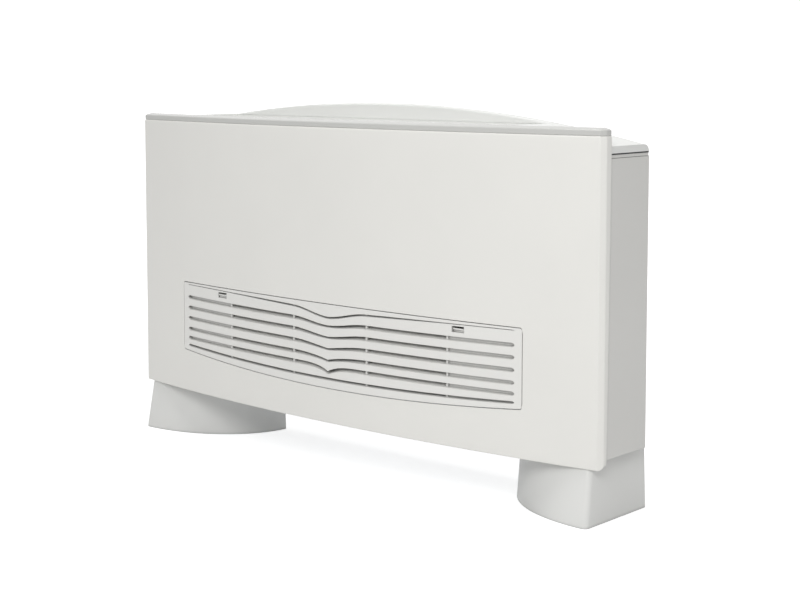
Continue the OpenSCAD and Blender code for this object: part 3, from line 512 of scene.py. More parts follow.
def quads(rows: int, cols: int, wrap_rows: bool = False, wrap_cols: bool = False) -> np.ndarray:
    """Faces of a grid of points stored row by row.

    Args:
        rows: Number of rows.
        cols: Number of points in a row.
        wrap_rows: Whether the last row joins the first.
        wrap_cols: Whether each row closes on itself.

    Returns:
        An (n, 4) array of corner numbers.
    """
    r, c = pairs(
        np.arange(rows if wrap_rows else rows - 1), np.arange(cols if wrap_cols else cols - 1)
    )
    r1, c1 = (r + 1) % rows, (c + 1) % cols
    return points(r * cols + c, r * cols + c1, r1 * cols + c1, r1 * cols + c)


def copies(faces: np.ndarray, size: int, count: int) -> np.ndarray:
    """Faces of many like shapes whose points follow each other.

    Args:
        faces: (n, 4) corner numbers of the first shape.
        size: Number of points of one shape.
        count: Number of shapes.

    Returns:
        (n count, 4) corner numbers.
    """
    return (faces[None] + size * np.arange(count)[:, None, None]).reshape(-1, 4)


def boxes(low: np.ndarray, high: np.ndarray) -> tuple[np.ndarray, np.ndarray]:
    """Many axis-aligned boxes at once.

    Args:
        low: (n, 3) lowest corners.
        high: (n, 3) highest corners.

    Returns:
        Vertices (8n, 3) and outward faces (6n, 4).
    """
    pick = np.array(
        [[0, 0, 0], [1, 0, 0], [1, 1, 0], [0, 1, 0], [0, 0, 1], [1, 0, 1], [1, 1, 1], [0, 1, 1]]
    )
    sides = np.array(
        [[0, 3, 2, 1], [4, 5, 6, 7], [0, 1, 5, 4], [1, 2, 6, 5], [2, 3, 7, 6], [3, 0, 4, 7]]
    )
    verts = low[:, None, :] + pick[None] * (high - low)[:, None, :]
    return verts.reshape(-1, 3), copies(sides, len(pick), len(low))


def piece(
    name: str,
    verts: np.ndarray,
    faces: np.ndarray,
    slot: str,
    body: str,
    sharp_deg: float = 35.0,
    finish: str | None = None,
) -> bpy.types.Object:
    """Makes a mesh piece that rides on a CAD body.

    Args:
        name: Object name.
        verts: (n, 3) points in metres.
        faces: (m, 4) corner numbers, outward.
        slot: Material slot.
        body: CAD body that it rides on.
        sharp_deg: Edges steeper than this stay sharp.
        finish: Name of the finish where it isn't the slot's own.

    Returns:
        The linked object.
    """
    mesh = bpy.data.meshes.new(name)
    mesh.from_pydata(verts.tolist(), [], faces.tolist())
    mesh.polygons.foreach_set("use_smooth", np.ones(len(mesh.polygons), dtype=bool))
    mesh.set_sharp_from_angle(angle=math.radians(sharp_deg))
    mesh.materials.append(PAINT.material(finish or slot))
    mesh.update()
    obj = bpy.data.objects.new(name, mesh)
    bpy.context.scene.collection.objects.link(obj)
    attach(obj, body)
    LOG.info("piece %s: %d faces on %s", name, len(faces), body)
    return obj


@dataclass
class Plan:
    """Plan of the front skin: a bow with cut-off ends and short returns.

    Each end is a flat at 45 degrees between two soft bends.

    Attributes:
        bow: How far the middle stands in front of the ends.
        reach: Distance of an end's flat from the middle that the end turns about.
        bend: Sharpness of the bends beside the flat.
        bow_points: Points along the bow.
        end_points: Points along an end.
        return_points: Points along a return.
    """

    bow: float = 39 * MM
    reach: float = 14 * MM
    bend: float = 40.0
    bow_points: int = 129
    end_points: int = 41
    return_points: int = 3

    def bow_radius(self) -> float:
        """Radius R of the bow over the half width h with rise b: R = (h h + b b) / (2 b).

        Returns:
            The radius.
        """
        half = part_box("front_panel")[1].x
        return (half * half + self.bow * self.bow) / (2.0 * self.bow)

    def bow_middle(self) -> float:
        """Y of the bow's middle Yc, one radius behind the foremost point.

        Returns:
            The middle's Y.
        """
        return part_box("front_panel")[0].y + self.bow_radius()

    def end_middle(self) -> tuple[float, float]:
        """Middle that the right end turns about, r inside the bow and the side.

        It lies at (h - r, Yc - sqrt((R - r)^2 - (h - r)^2)).

        Returns:
            The middle's X and Y.
        """
        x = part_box("front_panel")[1].x - self.reach
        gap = self.bow_radius() - self.reach
        return x, self.bow_middle() - math.sqrt(gap * gap - x * x)

    def face(self, x: np.ndarray, inset: np.ndarray) -> np.ndarray:
        """Y of the bow at x, set back by inset: Yc - sqrt((R - inset)^2 - x^2).

        Args:
            x: Distances from the middle.
            inset: Distances behind the outer face.

        Returns:
            The bow's Y.
        """
        return self.bow_middle() - np.sqrt((self.bow_radius() - inset) ** 2 - x * x)

    def end(self, inset: np.ndarray, rear: np.ndarray) -> tuple[np.ndarray, np.ndarray]:
        """The right end and return, set back by inset.

        The end turns from the bow's direction s to sideways, 0, with a flat half-way. About its
        middle it lies at (r - inset) (sum of cos(t - n)^p)^(-1/p) over the directions n = s, s/2
        and 0, which is a corner cut off at 45 degrees with soft bends. The return goes straight to
        the rear.

        Args:
            inset: (k, 1) distances behind the outer face.
            rear: (k, 1) rear edges.

        Returns:
            X and Y, (k, n) each.
        """
        cx, cy = self.end_middle()
        start = math.asin(cx / (self.bow_radius() - self.reach)) - math.pi / 2.0
        turn = np.linspace(start, 0.0, self.end_points)[None]
        back = np.linspace(0.0, 1.0, self.return_points + 1)[None, 1:]
        flats = np.array([start, start / 2.0, 0.0])[:, None]
        near = np.maximum(np.cos(turn - flats), 0.0) ** self.bend
        r = self.reach - inset
        swell = r * np.sum(near, axis=0)[None] ** (-1.0 / self.bend)
        straight = np.repeat(cx + r, self.return_points, axis=1)
        x = np.concatenate([cx + swell * np.cos(turn), straight], axis=1)
        y = np.concatenate([cy + swell * np.sin(turn), cy + back * (rear - cy)], axis=1)
        return x, y

    def across(
        self, columns: np.ndarray, inset: np.ndarray, rear: np.ndarray
    ) -> tuple[np.ndarray, np.ndarray]:
        """The whole plan from the left return round the bow to the right return.

        Args:
            columns: (n,) X of the points on the bow.
            inset: (k, 1) distances behind the outer face.
            rear: (k, 1) rear edges of the returns.

        Returns:
            X and Y, (k, m) each.
        """
        end_x, end_y = self.end(inset, rear)
        bow_x = np.broadcast_to(columns[None], (len(inset), len(columns)))
        x = np.concatenate([-end_x[:, ::-1], bow_x, end_x], axis=1)
        y = np.concatenate([end_y[:, ::-1], self.face(bow_x, inset), end_y], axis=1)
        return x, y


@dataclass
class FrontPanel:
    """The bowed front panel: a smooth sheet with cut-off ends, turned edges and a window.

    Attributes:
        plan: Plan of the panel.
        sheet: Sheet thickness.
        edge: Radius of the upper and lower edge.
        low_corner: Radius of the lower corners, as seen from the front.
        gap: Gap round the grille.
        corner: Radius of the window's corners.
        sag: How far the window's lower edge sinks to the middle.
        rear: Depth of the returns behind the ends' middles, at the bottom and at the top.
        edge_points: Points along a turned edge.
        arc_points: Points along half of a window corner.
        outer_points: Columns between the window and an end, both counted.
        levels: Rows below, beside and above the window.
    """

    plan: Plan = field(default_factory=Plan)
    sheet: float = 1.5 * MM
    edge: float = 2.5 * MM
    low_corner: float = 6.0 * MM
    gap: float = 1.2 * MM
    corner: float = 5.2 * MM
    sag: float = 17.4 * MM
    rear: tuple[float, float] = (0.9 * MM, 6.9 * MM)
    edge_points: int = 6
    arc_points: int = 5
    outer_points: int = 14
    levels: tuple[int, int, int] = (9, 15, 25)

    def arc(self) -> tuple[np.ndarray, np.ndarray]:
        """Half of a window corner, from 45 to 90 degrees, as distances from the square corner.

        Returns:
            The sideways shifts r (1 - cos a) and the drops r (1 - sin a).
        """
        a = np.radians(np.linspace(45.0, 90.0, self.arc_points))
        return self.corner * (1.0 - np.cos(a)), self.corner * (1.0 - np.sin(a))

    def columns(self) -> tuple[np.ndarray, int, int]:
        """X of the grid's columns on the bow, with lines on the window's sides and corner arcs.

        Returns:
            The columns, and the numbers of the window's first and last one.
        """
        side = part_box("intake_grille")[1].x + self.gap
        end = self.plan.end_middle()[0]
        arc = side - self.arc()[0][1:]
        inner = np.linspace(-arc[-1], arc[-1], self.plan.bow_points)
        outer = np.linspace(side, end, self.outer_points)[:-1]
        right = np.concatenate([arc[-2::-1], outer])
        x = np.concatenate([-right[::-1], inner, right])
        first = len(outer) - 1
        return x, first, len(x) - 1 - first

    def window_low(self, x: np.ndarray) -> np.ndarray:
        """Lower edge of the window at x: the arc z = m - sqrt(R^2 - x^2) of the sagging edge.

        Args:
            x: Distances from the middle.

        Returns:
            Heights.
        """
        low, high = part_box("intake_grille")
        radius = (high.x * high.x + self.sag * self.sag) / (2.0 * self.sag)
        reach = np.minimum(np.abs(x), high.x)
        return low.z + radius - np.sqrt((radius + self.gap) ** 2 - reach * reach)

    def heights(self, x: np.ndarray, window_top: float) -> np.ndarray:
        """Heights of the grid before the window's corners are rounded.

        Rows rise from the turned-in lower edge over the face to the same edge at the top. The
        lower edge lifts to l - sqrt(l^2 - (l - d)^2) at the distance d from the side, with l the
        radius of the lower corner. The window's rows follow its lower arc and its straight top.

        Args:
            x: (n,) X of the columns on the face.
            window_top: Height of the window's top.

        Returns:
            (k, n) heights.
        """
        low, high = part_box("front_panel")
        off = np.clip(high.x - np.abs(x), 0.0, self.low_corner)
        lift = self.low_corner - np.sqrt(self.low_corner**2 - (self.low_corner - off) ** 2)
        floor, sill = (low.z + lift)[None], self.window_low(x)[None]
        turn = quarter(self.edge_points)[:, None]
        lower, middle, upper = (np.linspace(0.0, 1.0, n)[:, None] for n in self.levels)
        bands = (
            floor + self.edge * (1.0 - np.cos(turn[:-1])),
            floor + self.edge + lower * (sill - floor - self.edge),
            sill + middle[1:] * (window_top - sill),
            window_top + upper[1:] * (high.z - self.edge - window_top),
            high.z - self.edge * (1.0 - np.sin(turn[1:])),
        )
        return np.concatenate([np.broadcast_to(band, (len(band), len(x))) for band in bands])

    def build(self) -> bpy.types.Object:
        """Builds the sheet as an outer and an inner grid joined by walls.

        The turned edges have the inset e (1 - sin a) at the height e (1 - cos a).

        Returns:
            The panel's object.
        """
        window_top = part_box("intake_grille")[1].z + self.gap
        bow_x, c0, c1 = self.columns()
        tail = self.plan.end_points + self.plan.return_points
        bow = slice(tail, -tail)
        n = self.edge_points
        lower, middle, upper = self.levels
        k0 = n - 1 + lower - 1
        k1 = k0 + middle - 1
        count = k1 + upper + n - 1
        window = (k0, k1, c0 + tail, c1 + tail)
        inset = np.zeros((count, 1))
        inset[:n, 0] = self.edge * (1.0 - np.sin(quarter(n)))
        inset[-n:, 0] = inset[n - 1 :: -1, 0]
        share = np.linspace(0.0, 1.0, count)[:, None]
        rear = self.plan.end_middle()[1] + self.rear[0] + (self.rear[1] - self.rear[0]) * share

        x, y = self.plan.across(bow_x, inset, rear)
        z = self.heights(x[n], window_top)
        self._round_window(x, z, window, window_top)
        y[:, bow] = self.plan.face(x[:, bow], inset)
        in_x, in_y = self.plan.across(bow_x, inset + self.sheet, rear)
        in_x[:, bow] = x[:, bow]
        in_y[:, bow] = self.plan.face(in_x[:, bow], inset + self.sheet)
        skins = [points(x, y, z), points(in_x, in_y, z)]
        verts = np.concatenate(skins).reshape(-1, 3)
        faces = self._faces(x.shape, window)
        obj = piece("front_panel_sheet", verts, faces, "panel_paint", "casing", sharp_deg=40.0)
        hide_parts("front_panel")
        return obj

    def _round_window(
        self, x: np.ndarray, z: np.ndarray, window: tuple[int, int, int, int], top: float
    ) -> None:
        """Moves the grid's points at the window's corners onto quarter circles.

        On the upper corners the points at angle a lie at (s - r + r cos a, t - r + r sin a). The
        lower ones mirror that about the sill.

        Args:
            x: (k, n) X of the grid, changed in place.
            z: (k, n) heights of the grid, changed in place.
            window: First and last row and column of the window.
            top: Height of the window's top.
        """
        k0, k1, c0, c1 = window
        shift, drop = self.arc()
        reach = x[k0, c1] - shift
        steps = np.arange(self.arc_points)
        for sign, cols in ((1.0, c1 - steps), (-1.0, c0 + steps)):
            x[k1, cols] = sign * reach
            x[k0, cols] = sign * reach
            z[k1, cols] = top - drop
            z[k0, cols] = self.window_low(reach) + drop

    @staticmethod
    def _faces(shape: tuple[int, int], window: tuple[int, int, int, int]) -> np.ndarray:
        """Faces of the two skins without the window, and the walls that join them.

        Args:
            shape: Rows and columns of the grid.
            window: First and last row and column of the window.

        Returns:
            (n, 4) corner numbers, outward.
        """
        rows, cols = shape
        k0, k1, c0, c1 = window
        grid = np.arange(rows * cols).reshape(rows, cols)
        r, c = pairs(np.arange(rows - 1), np.arange(cols - 1))
        skin = quads(rows, cols)[~((r >= k0) & (r < k1) & (c >= c0) & (c < c1))]
        paths = (
            grid[0, ::-1],
            grid[-1],
            grid[:, 0],
            grid[::-1, -1],
            grid[k0, c0 : c1 + 1],
            grid[k1, c0 : c1 + 1][::-1],
            grid[k0 : k1 + 1, c0][::-1],
            grid[k0 : k1 + 1, c1],
        )
        deep = rows * cols
        walls = [points(p[:-1], p[1:], p[1:] + deep, p[:-1] + deep) for p in paths]
        return np.concatenate([skin, skin[:, ::-1] + deep, *walls])


@dataclass
class TopRim:
    """The rim along the top of the panel, with the panel's plan and a sloping, rounded top.

    Attributes:
        plan: Plan of the panel.
        width: Distance of the rim's rear from the panel's face.
        back: How far the rim stands behind the panel's face.
        joint: Height and depth of the chamfer at its foot.
        edge: Radius of the front edge.
        edge_deg: Angle that the front edge turns through.
        edge_points: Points along the front edge.
        slope: How far the top rises from the front edge to the rear.
        chamfer: Depth and height of the chamfer at the rear.
        rear: Depth of the ends behind their middles.
    """

    plan: Plan = field(default_factory=Plan)
    width: float = 13.4 * MM
    back: float = 1.0 * MM
    joint: float = 0.8 * MM
    edge: float = 2.6 * MM
    edge_deg: float = 74.0
    edge_points: int = 7
    slope: float = 2.6 * MM
    chamfer: tuple[float, float] = (1.0 * MM, 0.8 * MM)
    rear: float = 6.9 * MM

    def build(self) -> bpy.types.Object:
        """Builds the rim as lines along the plan.

        The section goes up the face, round the front edge (inset e (1 - cos a), height e sin a), up
        the sloping top and down the rear face.

        Returns:
            The rim's object.
        """
        low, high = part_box("top_rim")
        a = np.radians(np.linspace(0.0, self.edge_deg, self.edge_points))
        foot = high.z - self.slope - self.edge
        depth, drop = self.chamfer
        inset = np.concatenate(
            [
                [self.back + self.joint, self.back],
                self.back + self.edge * (1.0 - np.cos(a)),
                [self.width - depth, self.width, self.width],
            ]
        )
        z = np.concatenate(
            [
                [low.z, low.z + self.joint],
                foot + self.edge * np.sin(a),
                [high.z, high.z - drop, low.z],
            ]
        )
        end_x, end_y = self.plan.end_middle()
        bow_x = np.linspace(-end_x, end_x, self.plan.bow_points + 2)[1:-1]
        rear = np.full((len(inset), 1), end_y + self.rear)
        x, y = self.plan.across(bow_x, inset[:, None], rear)
        verts = points(x, y, z[:, None]).reshape(-1, 3)
        rows, cols = x.shape
        k = np.arange(rows // 2 - 1)
        cap = points(k, k + 1, rows - 2 - k, rows - 1 - k) * cols
        faces = np.concatenate([quads(rows, cols, wrap_rows=True), cap, cap[:, ::-1] + cols - 1])
        obj = piece(
            "top_rim_bar", verts, faces, "trim_plastic", "casing", sharp_deg=40.0,
            finish="rim_plastic",
        )
        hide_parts("top_rim")
        return obj


@dataclass
class RoofSealsAndShadowLine:
    """Dark seals under the roof ends in the step of the side panels, which also stand in for the
    shadow in that gap, and thin dark strips along the step's foot, which are painted shadow lines.

    Attributes:
        high: Height of a seal.
        deep: Depth of the step that it lies in.
        proud: How far it stays behind the side's face.
        step: Height of the step.
        shadow_line: Height of the thin dark strip at the step's foot, a painted shadow line.
        sunk: How far that one stays behind the side's face.
    """

    high: float = 2.0 * MM
    deep: float = 0.8 * MM
    proud: float = 0.05 * MM
    step: float = 6.5 * MM
    shadow_line: float = 0.5 * MM
    sunk: float = 0.3 * MM

    def build(self) -> bpy.types.Object:
        """Builds the seals and the painted shadow lines of both sides as long thin bars.

        Returns:
            The seals' object.
        """
        low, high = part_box("side_panel_right")
        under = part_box("end_cap_right")[0].z
        foot = high.z - self.step
        inner, rear = high.x - self.deep, high.y - self.deep
        # Each side gets the seal under the roof end, which also stands in for the gap's shadow, and
        # a painted shadow line at the step's foot.
        first = np.array([[inner, low.y, under - self.high], [inner, low.y, foot]])
        last = np.array(
            [
                [high.x - self.proud, rear, under - self.proud],
                [high.x - self.sunk, rear, foot + self.shadow_line],
            ]
        )
        verts, faces = boxes(
            np.concatenate([first, np.minimum(first * MIRROR, last * MIRROR)]),
            np.concatenate([last, np.maximum(first * MIRROR, last * MIRROR)]),
        )
        return piece("roof_seals_and_shadow_line", verts, faces, "grommet_rubber", "casing", sharp_deg=30.0)


@dataclass
class Feet:
    """The two flared foot shells, as smooth surfaces in place of the CAD facets.

    Attributes:
        flare: How far the front flares from top to floor.
        side_flare: How far the outer and inner sides flare.
        wall: Wall thickness.
        corner: Radius of the upright outer corner.
        lip: Radius of the edge at the floor.
        around: Points along the swept quarter ellipse.
        side_points: Points along the outer side.
        side_end: Share of the outer side where its last point lies, before the corner.
        corner_points: Points along the outer corner.
        lip_points: Rings round the edge at the floor.
        levels: Rings up the wall.
    """

    flare: float = 17.5 * MM
    side_flare: float = 3.5 * MM
    wall: float = 3.0 * MM
    corner: float = 9.0 * MM
    lip: float = 1.0 * MM
    around: int = 64
    side_points: int = 6
    side_end: float = 0.15
    corner_points: int = 17
    lip_points: int = 5
    levels: int = 6

    def ring(self, low: Vector, high: Vector, z: np.ndarray, inset: np.ndarray) -> np.ndarray:
        """Plan of the foot at heights z.

        With t = z / height the front lies at low.y + flare t and the sides move in by side_flare t.
        The outline runs up the outer side, round a quarter circle of radius r, then along the
        quarter ellipse x = xc - a sin(s), y = front + b (1 - cos(s)) to the inner rear.

        Args:
            low: Lowest corner of the right foot.
            high: Highest corner of the right foot.
            z: (k,) heights.
            inset: (k,) distances inside the outer face.

        Returns:
            (k, n, 3) points.
        """
        t, inset = (z / high.z)[:, None], inset[:, None]
        out_x = high.x - self.side_flare * t - inset
        in_x = low.x + self.side_flare * t + inset
        front = low.y + self.flare * t + inset
        rear = high.y - inset
        r = self.corner - inset
        back = np.linspace(1.0, self.side_end, self.side_points)[None]
        bend = quarter(self.corner_points)[None]
        sweep = quarter(self.around + 1)[None, 1:]
        x = np.concatenate(
            [
                np.repeat(out_x, self.side_points, axis=1),
                out_x - r + r * np.cos(bend),
                out_x - r - (out_x - r - in_x) * np.sin(sweep),
            ],
            axis=1,
        )
        y = np.concatenate(
            [
                back * (rear - front - r) + front + r,
                front + r - r * np.sin(bend),
                front + (rear - front) * (1.0 - np.cos(sweep)),
            ],
            axis=1,
        )
        return points(x, y, z[:, None])

    def build(self, side: Side) -> bpy.types.Object:
        """Builds one foot.

        Args:
            side: Which end of the unit.

        Returns:
            The foot's object.
        """
        low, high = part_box("foot_right")
        turn = quarter(self.lip_points)
        wall_z = np.linspace(self.lip, high.z, self.levels + 1)[1:]
        up = np.concatenate([self.lip * (1.0 - np.cos(turn)), wall_z])
        lip_in = np.concatenate([self.lip * (1.0 - np.sin(turn)), np.zeros(self.levels)])
        down = np.linspace(high.z, 0.0, self.levels + 1)
        outer = self.ring(low, high, up, lip_in)
        inner = self.ring(low, high, down, np.full_like(down, self.wall))
        rings = np.concatenate([outer, inner])
        verts = rings.reshape(-1, 3)
        faces = quads(*rings.shape[:2], wrap_rows=True, wrap_cols=True)
        if side is Side.LEFT:
            verts = verts * MIRROR
        else:
            faces = faces[:, ::-1]
        name = f"foot_{side.name.lower()}"
        obj = piece(f"{name}_shell", verts, faces, "foot_plastic", "casing")
        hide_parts(name)
        return obj


@dataclass
class FinStack:
    """Thin fins and through tubes in place of the CAD's plain coil block.

    Attributes:
        thick: Thickness of the stack.
        height: Height along the slope.
        lean_deg: Lean towards the wall.
        pitch: Distance between fins.
        fin: Fin thickness.
        tube_r: Tube radius.
        tube_rows: Tubes above each other.
        tube_pitch: Distance between tubes.
        tube_points: Points round a tube.
    """

    thick: float = 44 * MM
    height: float = 190 * MM
    lean_deg: float = 20.0
    pitch: float = 2.2 * MM
    fin: float = 0.25 * MM
    tube_r: float = 4.6 * MM
    tube_rows: int = 6
    tube_pitch: float = 30 * MM
    tube_points: int = 24

    def place(self, local: np.ndarray) -> np.ndarray:
        """Carries points of the upright stack to its leaning place.

        The lean l turns them by y' = y cos l + z sin l, z' = z cos l - y sin l.

        Args:
            local: (n, 3) points about the stack's middle.

        Returns:
            (n, 3) points in the row frame.
        """
        lean = math.radians(self.lean_deg)
        c, s = math.cos(lean), math.sin(lean)
        turn = np.array([[1.0, 0.0, 0.0], [0.0, c, s], [0.0, -s, c]])
        low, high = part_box("coil_fins")
        return local @ turn.T + np.array((low + high) / 2.0)

    def half_length(self) -> float:
        """Half the length of the stack, from the CAD block.

        Returns:
            The half length.
        """
        low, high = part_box("coil_fins")
        return (high.x - low.x) / 2.0

    def build(self) -> bpy.types.Object:
        """Builds the fins.

        Returns:
            The stack's object.
        """
        half = self.half_length()
        x = np.arange(-half, half - self.fin, self.pitch)
        low = points(x, -self.thick / 2, -self.height / 2)
        high = low + np.array([self.fin, self.thick, self.height])
        verts, faces = boxes(low, high)
        verts = self.place(verts)
        obj = piece("fin_stack", verts, faces, "fin_aluminium", "casing", sharp_deg=20.0)
        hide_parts("coil_fins")
        return obj

    def tubes(self) -> bpy.types.Object:
        """Builds the straight tubes in the stack as open sleeves.

        The circle (r cos a, r sin a) about each tube's middle is carried along X.

        Returns:
            The tubes' object.
        """
        a = np.linspace(0.0, 2.0 * np.pi, self.tube_points, endpoint=False)
        heights = self.tube_pitch * (np.arange(self.tube_rows) - (self.tube_rows - 1) / 2)
        y, z = pairs(np.array([-self.thick / 4, self.thick / 4]), heights)
        ends = np.array([-1.0, 1.0]) * self.half_length()
        verts = points(
            ends[None, :, None],
            y[:, None, None] + self.tube_r * np.cos(a),
            z[:, None, None] + self.tube_r * np.sin(a),
        ).reshape(-1, 3)
        sleeve = quads(len(ends), self.tube_points, wrap_cols=True)[:, ::-1]
        faces = copies(sleeve, len(ends) * self.tube_points, len(y))
        return piece("coil_tubes", self.place(verts), faces, "copper_alloy", "casing")


@dataclass
class FilterWeave:
    """Crossing threads in place of the CAD's plain filter sheet.

    Attributes:
        cells: Number of cells side by side.
        rail: Room between two cells, taken by the frame's rails.
        pitch: Distance between threads.
        thread: Thread thickness.
    """

    cells: int = 3
    rail: float = 10.6 * MM
    pitch: float = 2.0 * MM
    thread: float = 0.4 * MM

    def build(self) -> bpy.types.Object:
        """Builds the weave of all cells.

        Returns:
            The weave's object.
        """
        low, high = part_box("filter_mesh")
        cell = (high.x - low.x - (self.cells - 1) * self.rail) / self.cells
        starts = low.x + np.arange(self.cells) * (cell + self.rail)
        steps = np.arange(0.0, cell - self.thread, self.pitch)
        rise = np.arange(low.z, high.z - self.thread, self.pitch)
        left, z = pairs(starts, rise)
        up = points((starts[:, None] + steps[None]).reshape(-1), low.y, low.z)
        across = points(left, low.y + self.thread, z)
        up_size = np.array([self.thread, self.thread, high.z - low.z])
        across_size = np.array([cell, self.thread, self.thread])
        verts, faces = boxes(
            np.concatenate([up, across]), np.concatenate([up + up_size, across + across_size])
        )
        obj = piece("filter_weave", verts, faces, "filter_cloth", "grille", sharp_deg=20.0)
        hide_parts("filter_mesh")
        return obj


@dataclass
class Screws:
    """Pan-head screws that hold the folded chassis together.

    Attributes:
        head_r: Head radius.
        head_h: Height of the dome's full ellipse.
        dome_deg: Angle at which the dome ends in a flat top.
        dome_points: Rings up the dome.
        socket_r: Distance from the middle to a flat of the socket.
        socket_d: Depth of the socket.
        pin_r: Radius of the hole that is left in the socket's floor.
        around: Points round a head.
        edge: Distance of a screw from the sheet's edge.
        base_front: Distance of the bottom plate's front screws from its edge, in such distances.
        rise: Heights of the screws on a chassis side, as shares of its height.
        spread: Places of the screws along the back plate's top, as shares of its half width.
    """

    head_r: float = 3.4 * MM
    head_h: float = 2.0 * MM
    dome_deg: float = 62.0
    dome_points: int = 6
    socket_r: float = 1.1 * MM
    socket_d: float = 1.2 * MM
    pin_r: float = 0.02 * MM
    around: int = 36
    edge: float = 9.5 * MM
    base_front: float = 3.0
    rise: tuple[float, ...] = (0.08, 0.36, 0.64, 0.94)
    spread: tuple[float, ...] = (-0.86, -0.3, 0.3, 0.86)

    def head(self) -> tuple[np.ndarray, np.ndarray]:
        """One head standing on z = 0.

        A profile of radius and height is turned about Z: a quarter-ellipse dome (r = R cos(u),
        z = h sin(u)) and a six-sided socket whose radius at angle a is
        s / cos(a mod 60 deg - 30 deg).

        Returns:
            Vertices and outward faces.
        """
        a = np.linspace(0.0, 2.0 * np.pi, self.around, endpoint=False)
        six = self.socket_r / np.cos(np.mod(a, np.pi / 3) - np.pi / 6)
        u = np.radians(np.linspace(0.0, self.dome_deg, self.dome_points))
        dome = np.repeat((self.head_r * np.cos(u))[:, None], self.around, axis=1)
        radii = np.concatenate([dome, six[None], six[None], np.full_like(six, self.pin_r)[None]])
        top = self.head_h * np.sin(u)
        floor = top[-1] - self.socket_d
        heights = np.concatenate([top, [top[-1], floor, floor]])
        verts = points(radii * np.cos(a), radii * np.sin(a), heights[:, None])
        return verts.reshape(-1, 3), quads(len(heights), self.around, wrap_cols=True)

    def seats(self) -> tuple[np.ndarray, np.ndarray]:
        """Seats of the screws on the chassis sides, the back plate's folded top and the bottom.

        Returns:
            (n, 3) places and (n, 3) outward directions.
        """
        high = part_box("back_plate")[1]
        side_low, side_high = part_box("chassis_side_right")
        base_low, base_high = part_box("bottom_plate")
        ends = np.array([-1.0, 1.0])
        rear = high.y - self.edge
        rise = side_low.z + np.array(self.rise) * (side_high.z - side_low.z)
        side_end, side_z = pairs(ends, rise)
        sides = points(side_end * side_high.x, rear, side_z)
        top = points(np.array(self.spread) * high.x, rear, high.z)
        rows = np.array([base_low.y + self.base_front * self.edge, base_high.y - self.edge])
        base_end, base_y = pairs(ends, rows)
        under = points(base_end * (base_high.x - self.edge), base_y, base_low.z)
        upward = np.concatenate([np.ones(len(top)), -np.ones(len(under))])
        out = np.concatenate([points(side_end, 0.0, 0.0), points(0.0, 0.0, upward)])
        return np.concatenate([sides, top, under]), out

    def build(self) -> bpy.types.Object:
        """Builds all heads as one piece.

        A head's axes are its direction w, which is square to Y, and u = Y x w and v = w x u.

        Returns:
            The screws' object.
        """
        places, w = self.seats()
        u = np.cross([0.0, 1.0, 0.0], w)
        v = np.cross(w, u)
        local, faces = self.head()
        verts = (
            places[:, None]
            + local[None, :, 0:1] * u[:, None]
            + local[None, :, 1:2] * v[:, None]
            + local[None, :, 2:3] * w[:, None]
        ).reshape(-1, 3)
        faces = copies(faces, len(local), len(places))
        return piece("chassis_screws", verts, faces, "bright_steel", "casing", sharp_deg=30.0)


@dataclass
class Dresser:
    """Gives every CAD node its finish.

    Attributes:
        slots: Material slot of each node, from the record.
    """

    slots: dict[str, str]

    def dress(self) -> None:
        """Puts the finish on each node."""
        for name, obj in frame["nodes"].items():
            slot = self.slots[name]
            obj.data.materials.clear()
            obj.data.materials.append(PAINT.material(NODE_FINISH.get(name, slot)))
            LOG.info("node %s: %s", name, slot)


@dataclass(frozen=True)
class Lamp:
    """One large soft light.

    Attributes:
        name: Object name.
        at: Position.
        aim: Point it faces.
        size: Side of the square light.
        power: Power in watts.
    """

    name: str
    at: tuple[float, float, float]
    aim: tuple[float, float, float]
    size: float
    power: float

    def build(self) -> None:
        """Adds the light to the scene."""
        data = bpy.data.lights.new(self.name, "AREA")
        data.size = self.size
        data.energy = self.power
        obj = bpy.data.objects.new(self.name, data)
        obj.location = self.at
        toward = Vector(self.aim) - Vector(self.at)
        obj.rotation_euler = toward.to_track_quat("-Z", "Y").to_euler()
        bpy.context.scene.collection.objects.link(obj)


